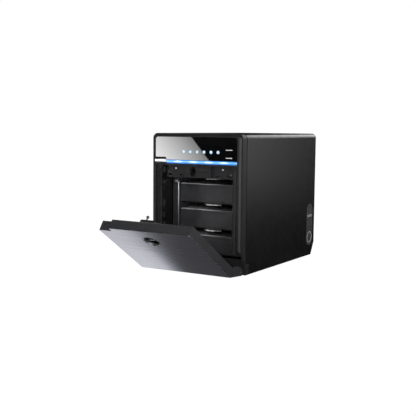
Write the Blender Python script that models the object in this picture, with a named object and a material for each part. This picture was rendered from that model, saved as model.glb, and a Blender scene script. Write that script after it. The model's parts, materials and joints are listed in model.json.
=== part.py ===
# Desktop storage enclosure for four 3.5 inch drives, with a drop-down front door.
# Sizes are in millimetres and the scene is in metres. +Z is up, -Y is the front.
# Pieces are drawn in a local frame: x to the right, depth behind the front plane,
# z above the underside of the body (the feet reach FOOT_H lower).
# A span is a (low, high) pair along one axis.
# Helper solids named cut_, add_ or keep_ feed the boolean modifiers and do not render.
import bpy
import bmesh
import math
from mathutils import Vector, Matrix

for old in list(bpy.data.objects):
    bpy.data.objects.remove(old, do_unlink=True)

MM = 0.001

# ---------------------------------------------------------------- dimensions
BODY_W = 127.0       # overall width
BODY_H = 167.5       # height without feet
BODY_D = 212.0       # depth without the door
SIDE_X = BODY_W / 2
FOOT_H = 3.0
CORNER_R = 6.0       # top edges, seen from the front
RIM_R = 4.5          # rounding of the bezel's front edge
BEZEL_D = 14.3       # depth of the moulded bezel
CHIN_D = 21.5        # depth of the bezel below the side seam's step
CHIN_Z = 13.0        # height of that step
SHELL_T = 1.5        # sheet thickness of the cover
GAP = 0.3            # gap between neighbouring pieces
TRAY_X = SIDE_X - SHELL_T - GAP  # half width of the floor and the rear panel
BADGE_D = (187.0, 207.0)
BADGE_Z = (14.0, 71.0)
BADGE_R = 8.0

OPEN_X = 57.5        # half width of the front opening
OPEN_TOP = 128.6     # top of the front opening
SILL_Z = 19.0        # top of the sill under the opening
LIP_X = 50.5         # half width inside the set-back lip
PANEL_X = 57.4       # half width of the glossy panel
PANEL_Z0, PANEL_Z1 = 135.3, 163.0
PANEL_R = 3.5
BAR_X0, BAR_X1 = -41.6, PANEL_X
BAR_Z0, BAR_Z1 = 130.8, 135.0
KEY_X = (-58.7, -42.4)          # power button
KEY_Z = (130.2, 137.8)
LED_X = [-16.8 + 9.7 * k for k in range(6)]
LED_Z = 145.4

PIVOT_D, PIVOT_Z = 4.4, 5.3     # hinge axis of the door
PIN_R = 1.5
BORE_R = PIN_R + 0.06
DOOR_OPEN = 56.0     # rest pose: degrees open from upright
DOOR_X = 62.6        # half width of the door
DOOR_OUT = -12.4     # outer face when shut
DOOR_IN = -0.3       # inner face when shut
DOOR_Z0, DOOR_Z1 = 26.0, 130.0  # flat face when shut
KNUCKLE_R = 4.5
SKIN_T = 1.0
NOTCH_X, NOTCH_Z = -45.0, 124.0 # corner of the door cut back under the power button
POCKET_X = 59.3      # half width of the hollow in the door
POCKET_TOP = DOOR_Z1 - 2.6
FINGER_Z = 105.6     # finger hole height when shut
FINGER_R = 10.8
STUD_X = -6.5        # latch stud, off the middle
STUD_Z = 119.6
STUD_END = 10.6      # depth of the stud's tip when shut

DRIVE_W, DRIVE_L, DRIVE_H = 101.6, 146.5, 26.1
DRIVE_D = 46.0       # depth of the drives' front ends
DRIVE_Z = [12.9 + 32.5 * k for k in range(4)]
CAGE_D0, CAGE_D1 = 44.0, 194.0
CAGE_X = 51.4        # half width inside the cage
CAGE_T = 1.2
FLANGE_D = CAGE_D0 - 0.2        # front of the cage flange

FAN_Z = 104.0
FAN_R = 37.0
FAN_D0 = 198.6       # front of the fan frame
SCREW_RADIUS = 50.5  # distance of the fan screws from the fan's axis
DIAGONALS = [math.radians(45 + 90 * k) for k in range(4)]
REAR_D = 208.2       # front face of the rear panel
REAR_T = 1.2
TAPER_D, TAPER_Z = 10.0, 17.0   # rear lower corner cut
JACK_X, JACK_Z = (-48.0, -36.0), (27.0, 39.0)
USB_X, USB_Z = (-19.0, -5.0), (27.0, 41.0)
ESATA_X, ESATA_Z = (13.0, 31.0), (28.0, 38.0)
SOCKET_D = (199.0, 210.4)

ACROSS = (-70, 70)              # clear of both sides of the body
THROUGH_REAR = (REAR_D - 3, REAR_D + 5)

# The overall box, with the door at rest, is centred on y = 0.
_open = math.radians(DOOR_OPEN)
DOOR_REACH = (-PIVOT_D + (PIVOT_D - DOOR_OUT) * math.cos(_open)
              + (DOOR_Z1 - PIVOT_Z) * math.sin(_open))
Y_FRONT = -(BODY_D - DOOR_REACH) / 2.0


# ---------------------------------------------------------------- materials
def material(name, rgb, roughness, metallic=0.0):
    mat = bpy.data.materials.get(name) or bpy.data.materials.new(name)
    mat.use_nodes = True
    inputs = mat.node_tree.nodes["Principled BSDF"].inputs
    inputs["Base Color"].default_value = (*rgb, 1.0)
    inputs["Roughness"].default_value = roughness
    inputs["Metallic"].default_value = metallic
    return mat


SATIN_BLACK = material("satin_black_metal", rgb=(0.022, 0.022, 0.024), roughness=0.42,
                       metallic=0.3)
MOULDED_BLACK = material("moulded_black_plastic", rgb=(0.03, 0.03, 0.032), roughness=0.5)
GLOSS_BLACK = material("gloss_black_acrylic", rgb=(0.006, 0.006, 0.007), roughness=0.06)
BLUE_LIGHT = material("blue_light_guide", rgb=(0.25, 0.6, 1.0), roughness=0.3)
LED_LENS = material("led_lens", rgb=(0.7, 0.85, 1.0), roughness=0.3)
WHITE_KEY = material("pale_key", rgb=(0.75, 0.77, 0.8), roughness=0.35)
BRUSHED = material("brushed_dark_aluminium", rgb=(0.2, 0.2, 0.215), roughness=0.35,
                   metallic=0.9)
STEEL = material("zinc_steel", rgb=(0.35, 0.35, 0.36), roughness=0.4, metallic=0.9)
CAGE_STEEL = material("dark_cage_steel", rgb=(0.09, 0.09, 0.095), roughness=0.45, metallic=0.7)
DRIVE_CAST = material("drive_casting", rgb=(0.1, 0.1, 0.105), roughness=0.5, metallic=0.6)
PCB = material("circuit_board", rgb=(0.01, 0.06, 0.03), roughness=0.5)
PORT = material("port_metal", rgb=(0.5, 0.5, 0.52), roughness=0.35, metallic=0.9)
PORT_DARK = material("port_plastic", rgb=(0.02, 0.02, 0.02), roughness=0.5)
FAN_BLACK = material("fan_plastic", rgb=(0.02, 0.02, 0.02), roughness=0.5)
RUBBER = material("foot_rubber", rgb=(0.02, 0.02, 0.02), roughness=0.85)


# ---------------------------------------------------------------- spans and outlines
def centred(half):
    return (-half, half)


def widen(span, margin):
    return (span[0] - margin, span[1] + margin)


def middle(span):
    return (span[0] + span[1]) / 2


def both_sides(near, far):
    """The left and right x spans between two distances from the middle."""
    return [(-far, -near), (near, far)]


def rect(first, second):
    return [(first[0], second[0]), (first[1], second[0]),
            (first[1], second[1]), (first[0], second[1])]


def circle(center_a, center_b, radius, count):
    angles = [2 * math.pi * i / count for i in range(count)]
    return [(center_a + radius * math.cos(t), center_b + radius * math.sin(t)) for t in angles]


def arc(center_a, center_b, radius, start, end, steps):
    """Points from angle `start` to angle `end`, in degrees."""
    angles = [math.radians(start + (end - start) * k / steps) for k in range(steps + 1)]
    return [(center_a + radius * math.cos(t), center_b + radius * math.sin(t)) for t in angles]


def rounded(first, second, radii, steps=5):
    """Rectangle with its own radius at (low left, low right, top right, top left)."""
    inward = [(1, 1), (-1, 1), (-1, -1), (1, -1)]
    starts = (180, 270, 0, 90)
    points = []
    for corner, (in_a, in_b), start, radius in zip(rect(first, second), inward, starts, radii):
        if radius <= 0:
            points.append(corner)
        else:
            points += arc(corner[0] + in_a * radius, corner[1] + in_b * radius,
                          radius, start, start + 90, steps)
    return points


def mirrored(half_outline):
    """Closed outline from its right half, listed from bottom to top."""
    return half_outline + [(-x, z) for x, z in reversed(half_outline)]


# ---------------------------------------------------------------- solids
PLANES = {
    'xz': lambda a, b, c: (a, c, b),    # outline in x and z, extruded along the depth
    'dz': lambda a, b, c: (c, a, b),    # outline in depth and z, extruded along x
}


def world(x, depth, z):
    return Vector((x * MM, (Y_FRONT + depth) * MM, (z + FOOT_H) * MM))


def finish(name, shape, mat, origin, parent=None, smooth=False):
    """Make an object from a bmesh in local millimetres; without a material it is a helper."""
    bmesh.ops.recalc_face_normals(shape, faces=shape.faces)
    base = world(*origin)
    for vert in shape.verts:
        vert.co = world(*vert.co) - base
    mesh = bpy.data.meshes.new(name)
    shape.to_mesh(mesh)
    shape.free()
    obj = bpy.data.objects.new(name, mesh)
    bpy.context.scene.collection.objects.link(obj)
    obj.location = base
    if parent is not None:
        obj.parent = parent
        obj.location = base - parent.location
    if mat is None:
        obj.hide_render = True
        obj.display_type = 'WIRE'
    else:
        mesh.materials.append(mat)
    if smooth:
        mesh.shade_smooth()
        mesh.set_sharp_from_angle(angle=math.radians(35))
    return obj


def add_prism(shape, outline, plane, span):
    place = PLANES[plane]
    low, high = [[shape.verts.new(place(a, b, end)) for a, b in outline] for end in span]
    shape.faces.new(low)
    shape.faces.new(list(reversed(high)))
    for i in range(len(outline)):
        j = (i + 1) % len(outline)
        shape.faces.new((low[i], high[i], high[j], low[j]))


def prisms(name, parts, plane, mat, origin, parent=None, smooth=False):
    """One object made of several (outline, span) prisms."""
    shape = bmesh.new()
    for outline, span in parts:
        add_prism(shape, outline, plane, span)
    return finish(name, shape, mat, origin, parent, smooth)


def prism(name, outline, plane, span, mat=None, origin=None, parent=None, smooth=False):
    """Extruded outline; its origin defaults to the mean of its points."""
    if origin is None:
        mean_a = sum(point[0] for point in outline) / len(outline)
        mean_b = sum(point[1] for point in outline) / len(outline)
        origin = PLANES[plane](mean_a, mean_b, middle(span))
    return prisms(name, [(outline, span)], plane, mat, origin, parent, smooth)


def box(name, x, depth, z, mat=None, origin=None, parent=None):
    return prism(name, rect(x, z), 'xz', depth, mat, origin, parent)


def boxes(name, blocks, parent=None):
    """One helper of several (x, depth, z) blocks, with its origin in the first."""
    parts = [(rect(x, z), depth) for x, depth, z in blocks]
    return prisms(name, parts, 'xz', None, [middle(span) for span in blocks[0]], parent)


def bridge_rings(shape, ring, following):
    for i in range(len(ring)):
        j = (i + 1) % len(ring)
        shape.faces.new((ring[i], ring[j], following[j], following[i]))


def loft(name, stations, mat, origin, smooth=False):
    """Closed solid through rings of points."""
    shape = bmesh.new()
    rings = [[shape.verts.new(point) for point in station] for station in stations]
    for ring, following in zip(rings, rings[1:]):
        bridge_rings(shape, ring, following)
    shape.faces.new(rings[0])
    shape.faces.new(list(reversed(rings[-1])))
    return finish(name, shape, mat, origin, smooth=smooth)


def screw(name, x, z, origin_depth, profile):
    """Screw head facing front or back; profile rows are (radius, depth)."""
    stations = [[(px, depth, pz) for px, pz in circle(x, z, radius, 16)]
                for radius, depth in profile]
    loft(name, stations, STEEL, (x, origin_depth, z), smooth=True)


def cut(obj, tool, operation='DIFFERENCE'):
    mod = obj.modifiers.new(operation.lower() + "_" + tool.name, 'BOOLEAN')
    mod.operation = operation
    mod.solver = 'EXACT'
    mod.object = tool


def join(obj, tool):
    cut(obj, tool, 'UNION')


def soften(obj, width, segments, angle=40.0):
    mod = obj.modifiers.new("softened_edges", 'BEVEL')
    mod.width = width * MM
    mod.segments = segments
    mod.limit_method = 'ANGLE'
    mod.angle_limit = math.radians(angle)
    mod.use_clamp_overlap = True


# ---------------------------------------------------------------- casing
def cover_line(inset):
    """Open line up the left side, over the top and down the right side."""
    center_x, center_z, radius = SIDE_X - CORNER_R, BODY_H - CORNER_R, CORNER_R - inset
    return ([(-SIDE_X + inset, 0.0)]
            + arc(-center_x, center_z, radius, 180, 90, 6)
            + arc(center_x, center_z, radius, 90, 0, 6)
            + [(SIDE_X - inset, 0.0)])


def outer_shell():
    """One folded sheet: top and both sides."""
    shell = prism("outer_shell", cover_line(0.0) + cover_line(SHELL_T)[::-1], 'xz',
                  (BEZEL_D + GAP, BODY_D), SATIN_BLACK, origin=(0, BODY_D / 2, BODY_H / 2),
                  smooth=True)
    # the rear lower corner is cut away at a slant
    taper = [(BODY_D - TAPER_D, -0.5), (BODY_D - TAPER_D - 0.3, -2.0), (BODY_D + 6, -2.0),
             (BODY_D + 6, TAPER_Z + 10.2), (BODY_D, TAPER_Z)]
    cut(shell, prism("cut_rear_taper", taper, 'dz', ACROSS))
    # the lower front corner steps back round the bezel's chin
    cut(shell, box("cut_shell_step", ACROSS, (5, CHIN_D + GAP), (-2, CHIN_Z + GAP)))
    # shallow seat for the side badge
    margin = 0.25
    seat = rounded(widen(BADGE_D, margin), widen(BADGE_Z, margin), (BADGE_R + margin,) * 4)
    cut(shell, prism("cut_badge_seat", seat, 'dz', (SIDE_X - 0.8, SIDE_X + 2)))


def side_badge():
    """Badge on the right side, with a raised ring left between a groove and a recess."""
    face_x = SIDE_X - 0.05
    ring_z = 25.0
    groove_span = (SIDE_X - 0.35, SIDE_X + 1)

    def disc(name, radius, span):
        return prism(name, circle(middle(BADGE_D), ring_z, radius, 24), 'dz', span)

    badge = prism("side_badge", rounded(BADGE_D, BADGE_Z, (BADGE_R,) * 4), 'dz',
                  (SIDE_X - 0.75, face_x), GLOSS_BLACK)
    cut(badge, disc("cut_badge_ring_out", 8.6, groove_span))
    join(badge, disc("keep_badge_ring", 8.0, (SIDE_X - 0.5, face_x)))
    cut(badge, disc("cut_badge_ring_in", 6.2, groove_span))


def base_tray():
    """Floor of the body, folded up inside the cover at both sides."""
    sheet = 1.2
    under, wall_top = 0.3, 12.0
    half = [(TRAY_X, under), (TRAY_X, wall_top),
            (TRAY_X - sheet, wall_top), (TRAY_X - sheet, under + sheet)]
    tray = prism("base_tray", mirrored(half), 'xz', (CHIN_D + GAP, 198.2), CAGE_STEEL,
                 origin=(0, 110, 0.3))
    vent_front, vent_pitch, vent_width = 52, 14, 5
    starts = [vent_front + vent_pitch * k for k in range(9)]
    cut(tray, boxes("cut_tray_vents", [(centred(30), (start, start + vent_width), (-1, 3))
                                       for start in starts]))


def rear_panel():
    """Rear panel, bent forward along the slanted lower corner."""
    top, low = BODY_H - 3.0, 2.0
    low_depth = REAR_D - (TAPER_Z - 1.0) * TAPER_D / TAPER_Z
    outline = [(REAR_D, top), (REAR_D, TAPER_Z + 1.0), (low_depth, low),
               (low_depth + REAR_T * 1.15, low), (REAR_D + REAR_T, TAPER_Z + 0.6),
               (REAR_D + REAR_T, top)]
    rear = prism("rear_panel", outline, 'dz', centred(TRAY_X), CAGE_STEEL)
    cut(rear, prism("cut_fan_window", circle(0, FAN_Z, FAN_R + 0.5, 40), 'xz', THROUGH_REAR))
    sockets = ((JACK_X, JACK_Z), (USB_X, USB_Z), (ESATA_X, ESATA_Z))
    cut(rear, boxes("cut_rear_ports", [(widen(x, GAP), THROUGH_REAR, widen(z, GAP))
                                       for x, z in sockets]))
    slot_z, slot_pitch, slot_h = 148, 2.6, 1.2
    lows = [slot_z + slot_pitch * k for k in range(6)]
    cut(rear, boxes("cut_rear_vents", [(x, THROUGH_REAR, (z, z + slot_h))
                                       for z in lows for x in both_sides(25, 45)]))
    # the corners follow the cover's rounded edges
    corner = [(TRAY_X + 2, BODY_H + 1), (TRAY_X + 2, BODY_H - 7.5), (TRAY_X, BODY_H - 7.5),
              (TRAY_X - 4.5, top), (TRAY_X - 4.5, BODY_H + 1)]
    for side, sign in (("l", -1), ("r", 1)):
        cut(rear, prism("cut_rear_corner_" + side, [(sign * x, z) for x, z in corner],
                        'xz', THROUGH_REAR))


# ---------------------------------------------------------------- bezel
def bezel_body():
    """Rounded-rectangle sections from the rim back to the seam."""
    rim = [math.radians(18 * k) for k in range(6)]
    # each section: (inset from the outline, depth)
    sections = [(RIM_R * (1 - math.sin(t)), RIM_R * (1 - math.cos(t))) for t in rim]
    sections.append((0.0, BEZEL_D))
    stations = []
    for inset, depth in sections:
        radius = CORNER_R - inset
        outline = rounded(centred(SIDE_X - inset), (inset * 0.4, BODY_H - inset),
                          (1.0, 1.0, radius, radius), 6)
        stations.append([(x, depth, z) for x, z in outline])
    return loft("front_bezel", stations, MOULDED_BLACK, (0, 0, 0), smooth=True)


def front_bezel():
    bezel = bezel_body()
    join(bezel, box("add_bezel_chin", centred(SIDE_X), (BEZEL_D - 1, CHIN_D), (0, CHIN_Z)))
    # opening, set-back lip and the hollow behind it
    ahead, behind = -3, 20      # depths clear of the bezel's front and back
    cut(bezel, box("cut_opening_front", centred(OPEN_X), (ahead, 3.0), (SILL_Z, OPEN_TOP)))
    lip = rounded(centred(LIP_X), (SILL_Z, OPEN_TOP), (0, 0, 3, 3), 3)
    cut(bezel, prism("cut_opening_through", lip, 'xz', (ahead, behind)))
    cut(bezel, box("cut_bezel_hollow", centred(SIDE_X - 2.0), (5.2, behind),
                   (SILL_Z, BODY_H - 2.5)))
    # seats for the glossy panel, the light bar and the power button
    seat_r = PANEL_R + GAP
    panel_seat = rounded(centred(PANEL_X + GAP), (PANEL_Z0 - 0.25, PANEL_Z1 + GAP),
                         (0, 0, seat_r, seat_r))
    cut(bezel, prism("cut_panel_seat", panel_seat, 'xz', (ahead, 2.4)))
    cut(bezel, box("cut_bar_seat", (BAR_X0 - 0.2, BAR_X1 + GAP), (ahead, 3.3),
                   (BAR_Z0 - 0.2, PANEL_Z0)))
    key_seat = rounded(widen(KEY_X, GAP), widen(KEY_Z, GAP), (4.0,) * 4)
    cut(bezel, prism("cut_key_seat", key_seat, 'xz', (ahead, 9)))
    # the whole lower front is scooped back to clear the door's hinge arms: (depth, z)
    chin = [(-6, 31.5), (0.0, 31.5), (0.6, 29.3), (2.0, 27.2), (4.6, 24.1), (8.2, 18.6),
            (11.5, 12.9), (12.9, 6.0), (13.4, -2.0), (-6, -2.0)]
    cut(bezel, prism("cut_chin", chin, 'dz', ACROSS))
    hinge_lugs(bezel)


def hinge_lugs(bezel):
    """Two lugs on the bezel, their bores and the hinge pins."""
    sides = ("left", "right")
    lug = [(14.5, 1.0), (14.5, 9.5)] + arc(PIVOT_D, PIVOT_Z, 3.8, 80, 280, 10)
    bore = circle(PIVOT_D, PIVOT_Z, BORE_R, 20)
    pin = circle(PIVOT_D, PIVOT_Z, PIN_R, 20)
    for side, span in zip(sides, both_sides(55.0, 59.0)):
        join(bezel, prism("add_lug_" + side, lug, 'dz', span))
    for side, span in zip(sides, both_sides(53.0, 62.0)):
        cut(bezel, prism("cut_lug_bore_" + side, bore, 'dz', span))
    for side, span in zip(sides, both_sides(55.4, 62.2)):
        prism("hinge_pin_" + side, pin, 'dz', span, STEEL,
              origin=(middle(span), PIVOT_D, PIVOT_Z), smooth=True)


# ---------------------------------------------------------------- front controls
def control_panel():
    """Glossy panel with a rounded notch at its lower left, above the power button."""
    notch_x, notch_z, notch_r = -43.8, 136.4, 2.0
    corner_x, corner_z = PANEL_X - PANEL_R, PANEL_Z1 - PANEL_R
    outline = [(notch_x + notch_r, PANEL_Z0), (PANEL_X, PANEL_Z0)]
    outline += arc(corner_x, corner_z, PANEL_R, 0, 90, 5)
    outline += arc(-corner_x, corner_z, PANEL_R, 90, 180, 5)
    outline += [(-PANEL_X, notch_z + notch_r)]
    outline += arc(notch_x, notch_z, notch_r, 90, 0, 3)
    panel = prism("control_panel", outline, 'xz', (0.2, 2.1), GLOSS_BLACK, origin=(0, 1.1, 149))
    holes = [(circle(x, LED_Z, 2.1, 16), (-1.0, 4.0)) for x in LED_X]
    cut(panel, prisms("cut_led_holes", holes, 'xz', None, (0, 0, LED_Z)))


def front_controls():
    """Status lights, light bar, power button and the board behind them."""
    for k, x in enumerate(LED_X):
        prism("status_led_%d" % (k + 1), circle(x, LED_Z, 1.9, 16), 'xz', (0.1, 2.1),
              LED_LENS, smooth=True)
    bar = box("light_bar", (BAR_X0, BAR_X1), (0.1, 3.0), (BAR_Z0, BAR_Z1), BLUE_LIGHT)
    soften(bar, width=0.5, segments=1)
    key = prism("power_button", rounded(KEY_X, KEY_Z, (3.8,) * 4), 'xz', (-0.6, 4.4),
                WHITE_KEY, smooth=True)
    soften(key, width=0.5, segments=2, angle=60)
    board = box("control_board", (-39.0, 52.0), (5.6, 7.2), (137.0, 160.0), PCB)
    soften(board, width=0.4, segments=1)


def latch_catch():
    """Cross plate behind the opening's top rail, with a raised block round the keyhole."""
    top = 135.5
    plate = rounded((-47.0, 49.5), (113.5, top), (1.5, 1.5, 1, 1), 3)
    block = rounded((-17.0, 19.0), (114.5, top), (2, 2, 1, 1), 3)
    slot = rounded(widen((STUD_X, STUD_X), 4.0), (115.5, 126.5), (3.5,) * 4, 4)
    catch = prism("latch_catch", plate, 'xz', (9.5, 10.7), MOULDED_BLACK)
    join(catch, prism("add_catch_block", block, 'xz', (5.6, 10.0)))
    cut(catch, prism("cut_catch_slot", slot, 'xz', (2, 12)))
    cut(catch, box("cut_catch_step", (-13.5, 15.5), (2, 6.8), (127.4, 128.6)))


# ---------------------------------------------------------------- door
# The door is drawn shut and hangs from an empty on the hinge axis, which swings it open.
AXIS = (0, PIVOT_D, PIVOT_Z)
hinge = bpy.data.objects.new("door_hinge_axis", None)
bpy.context.scene.collection.objects.link(hinge)
hinge.location = world(*AXIS)
hinge.rotation_euler = (math.radians(DOOR_OPEN), 0, 0)
HUNG = dict(origin=AXIS, parent=hinge)

DOOR_THROUGH = (-20, 14)        # depths clear of both faces of the door
SKIN_SEAT_D = DOOR_OUT + SKIN_T + 0.2
CHIN_TOP_Z = DOOR_Z0 - GAP      # where the slanting chin starts on the outer face

# the chin's outer face runs from (DOOR_OUT, CHIN_TOP_Z) to touch the knuckle circle
_run, _rise = PIVOT_D - DOOR_OUT, PIVOT_Z - CHIN_TOP_Z
_reach = math.hypot(_run, _rise)
CHIN_ANGLE = math.atan2(_rise, _run) - math.asin(KNUCKLE_R / _reach)
CHIN_LENGTH = math.sqrt(_reach ** 2 - KNUCKLE_R ** 2)


def door_outline():
    """Side outline: outer face, slanting chin, knuckle round the pin, inner face."""
    touch_d = DOOR_OUT + CHIN_LENGTH * math.cos(CHIN_ANGLE)
    touch_z = CHIN_TOP_Z + CHIN_LENGTH * math.sin(CHIN_ANGLE)
    touch_angle = math.degrees(math.atan2(touch_z - PIVOT_Z, touch_d - PIVOT_D))
    chamfer = 0.8
    return ([(SKIN_SEAT_D, CHIN_TOP_Z), (DOOR_OUT, CHIN_TOP_Z)]
            + arc(PIVOT_D, PIVOT_Z, KNUCKLE_R, touch_angle, 20.0, 12)
            + [(7.0, 15.2), (DOOR_IN, 27.0), (DOOR_IN, DOOR_Z1 - chamfer),
               (DOOR_IN - chamfer, DOOR_Z1), (SKIN_SEAT_D, DOOR_Z1)])


def door_pocket(name, x_span, top):
    """Helper for the hollow of the door and the inner side of its chin."""
    floor_d, back, low = -10.0, 14.0, 11.0
    chin_d = DOOR_OUT + 1.9 - (CHIN_TOP_Z + 1.1 - low) / math.tan(CHIN_ANGLE)
    outline = [(floor_d, top), (floor_d, 27.4), (chin_d, low), (back, low), (back, top)]
    return prism(name, outline, 'dz', x_span, **HUNG)


def door_frame(notch, finger_hole):
    """Frame of the door; its ends stay full as hinge arms."""
    door = prism("door_frame", door_outline(), 'dz', centred(DOOR_X), MOULDED_BLACK,
                 smooth=True, **HUNG)
    cut(door, door_pocket("cut_door_pocket", (-42.6, POCKET_X), POCKET_TOP))
    cut(door, door_pocket("cut_door_pocket_l", (-POCKET_X, -41.8), NOTCH_Z - 2.2))
    cut(door, box("cut_door_under", centred(POCKET_X), DOOR_THROUGH, (-5, 10.0), **HUNG))
    cut(door, notch)
    cut(door, prism("cut_arm_bores", circle(PIVOT_D, PIVOT_Z, BORE_R, 20), 'dz', (-80, 80),
                    **HUNG))
    cut(door, finger_hole)


def door_skin(notch, finger_hole):
    """Brushed face."""
    outline = rounded(centred(DOOR_X), (DOOR_Z0, DOOR_Z1), (0.8,) * 4, 2)
    skin = prism("door_skin", outline, 'xz', (DOOR_OUT, DOOR_OUT + SKIN_T), BRUSHED, **HUNG)
    cut(skin, notch)
    cut(skin, finger_hole)


def finger_ring():
    """Ring lining the finger hole."""
    count = 32
    # section: (radius, depth)
    section = [(10.5, DOOR_OUT), (10.5, -9.6), (9.5, -9.6), (9.5, DOOR_OUT + 0.3),
               (9.9, DOOR_OUT - 0.15), (10.3, DOOR_OUT - 0.15)]
    shape = bmesh.new()
    rings = []
    for i in range(count):
        angle = 2 * math.pi * i / count
        rings.append([shape.verts.new((radius * math.cos(angle), depth,
                                       FINGER_Z + radius * math.sin(angle)))
                      for radius, depth in section])
    for i in range(count):
        bridge_rings(shape, rings[i], rings[(i + 1) % count])
    finish("finger_ring", shape, PORT, smooth=True, **HUNG)


def door_liner(latch_slot):
    """Inner cover, stepped round the door's notch, with six shallow grooves."""
    edge_x, step_x, low = 59.0, -42.2, 27.8
    top, step_z = POCKET_TOP - GAP, NOTCH_Z - 2.5
    outline = [(-edge_x, low), (edge_x, low), (edge_x, top), (step_x, top),
               (step_x, step_z), (-edge_x, step_z)]
    liner = prism("door_liner", outline, 'xz', (-1.8, -0.6), MOULDED_BLACK, **HUNG)
    cut(liner, latch_slot)
    grooves = [((x, x + 10), (-1.2, 1), (40, 96)) for x in range(-50, 51, 20)]
    cut(liner, boxes("cut_liner_panels", grooves, hinge))


def latch_housing(latch_slot):
    """Housing round the latch stud."""
    outline = [(-12.0, 112.5), (10.0, 112.5), (10.0, 123.5), (8.0, 125.5), (-10.0, 125.5),
               (-12.0, 123.5)]
    housing = prism("latch_housing", outline, 'xz', (-0.3, 4.8), MOULDED_BLACK, **HUNG)
    cut(housing, latch_slot)
    soften(housing, width=0.8, segments=2)


def door_latch():
    """A slide inside the door, a bar across the finger hole and a ball-ended stud."""
    latch = box("door_latch", centred(7.5), (-7.6, -6.2), (97.5, 123.5), STEEL,
                origin=(0, -7.0, 110.0), parent=hinge)
    join(latch, box("add_latch_bar", centred(7.0), (-9.4, -7.0), (101.6, 105.0), **HUNG))
    join(latch, prism("add_latch_stem", circle(STUD_X, STUD_Z, 0.9, 12), 'xz',
                      (-6.8, STUD_END), **HUNG))
    ball = bmesh.new()
    bmesh.ops.create_uvsphere(ball, u_segments=14, v_segments=9, radius=1.8,
                              matrix=Matrix.Translation((STUD_X, STUD_END, STUD_Z)))
    join(latch, finish("add_latch_ball", ball, None, **HUNG))


def door():
    notch = box("cut_door_notch", (-80, NOTCH_X), DOOR_THROUGH, (NOTCH_Z, DOOR_Z1 + 6), **HUNG)
    finger_hole = prism("cut_finger_hole", circle(0, FINGER_Z, FINGER_R, 32), 'xz',
                        (-20, -6), **HUNG)
    latch_slot = box("cut_latch_slot", widen((STUD_X, STUD_X), 1.4), (-4, 8),
                     (116.0, 122.2), **HUNG)
    door_frame(notch, finger_hole)
    door_skin(notch, finger_hole)
    finger_ring()
    door_liner(latch_slot)
    latch_housing(latch_slot)
    door_latch()


# ---------------------------------------------------------------- drives and their cage
def drive_cage():
    """Square tube with a front flange, ledges under the drives and side windows."""
    low, top = 9.5, 140.7
    cage = box("drive_cage", centred(CAGE_X + CAGE_T), (CAGE_D0, CAGE_D1), (low, top),
               CAGE_STEEL)
    join(cage, box("add_cage_flange", centred(60.9), (FLANGE_D, CAGE_D0 + 1.0), (13.2, 146.0)))
    cut(cage, box("cut_cage_inside", centred(CAGE_X), (20, 210), (low + CAGE_T, top - CAGE_T)))
    ledges = [(x, (CAGE_D0 + 3, CAGE_D1 - 2), (z - 1.4, z - GAP))
              for z in DRIVE_Z for x in both_sides(47.6, CAGE_X + 0.6)]
    join(cage, boxes("add_cage_ledges", ledges))
    windows = [(x, (depth, depth + 26), (z + 5, z + 20))
               for z in DRIVE_Z for depth in (64, 102, 140)
               for x in both_sides(CAGE_X - 0.3, CAGE_X + 6)]
    cut(cage, boxes("cut_cage_windows", windows))


def drive(number, z):
    """Stepped casting: full-size lower body, cover set in a little at the top."""
    edge = DRIVE_W / 2
    back = DRIVE_D + DRIVE_L
    # right half: (x, height above the drive's underside)
    half = [(edge - 0.4, 0.0), (edge, 0.4), (edge, 21.6), (edge - 1.0, 22.4),
            (edge - 1.0, DRIVE_H - 0.6), (edge - 1.6, DRIVE_H)]
    outline = mirrored([(x, z + up) for x, up in half])
    body = prism("drive_%d" % number, outline, 'xz', (DRIVE_D, back), DRIVE_CAST,
                 origin=(0, DRIVE_D, z))
    # two reliefs in the underside and the plug recess at the back
    reliefs = [(centred(42), (DRIVE_D + 12, DRIVE_D + 96), (z - 2, z + 1.6)),
               (centred(47), (DRIVE_D - 2, DRIVE_D + 7), (z - 2, z + 2.3)),
               ((-16, 30), (back - 5, back + 2), (z + 3.0, z + 9.0))]
    cut(body, boxes("cut_drive_relief_%d" % number, reliefs))


def drive_handle(number, z):
    """Pull tab: a bent strip, narrowed towards its front end."""
    # (depth from the drive's front, height above its underside)
    profile = [(-1.3, 5.0), (-1.3, 2.0), (-7.6, 0.6), (-8.2, 1.6),
               (-8.4, 0.2), (-7.4, -0.6), (-0.3, 0.8), (-0.3, 5.0)]
    handle = prism("drive_handle_%d" % number, [(DRIVE_D + depth, z + up)
                                                for depth, up in profile],
                   'dz', (-11.0, 13.0), PORT, origin=(0, DRIVE_D - 4, z))
    sides = [(x, (DRIVE_D - 12, DRIVE_D - 4.5), (z - 3, z + 4)) for x in ((-16, -6.5), (8.5, 18))]
    cut(handle, boxes("cut_handle_sides_%d" % number, sides))


def sata_connector(number, z):
    """Block behind a drive with two slots."""
    connector = box("sata_connector_%d" % number, (-15.0, 29.0), (192.8, 196.6),
                    (z + 1.5, z + 10.5), PORT_DARK)
    slots = [(x, (190, 195.6), (z + 4.4, z + 5.8)) for x in ((-13, 7), (10, 27))]
    cut(connector, boxes("cut_connector_%d" % number, slots))


def boards():
    """Upright board behind the drives and flat board above the cage."""
    backplane = box("backplane_board", centred(49.0), (196.9, 198.3), (11.5, 139.0), PCB)
    cut(backplane, boxes("cut_backplane_air", [(centred(40), (194, 201), (z - 4.2, z - 1.0))
                                               for z in DRIVE_Z[1:]]))
    bridge = box("bridge_board", centred(48.0), (62.0, 190.0), (146.0, 147.6), PCB)
    cut(bridge, boxes("cut_bridge_corner", [((30, 60), (50, 84), (140, 152)),
                                            ((-60, -38), (170, 200), (140, 152))]))


# ---------------------------------------------------------------- fan
def fan_disc(name, radius, span, count=40, **options):
    return prism(name, circle(0, FAN_Z, radius, count), 'xz', span, **options)


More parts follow.
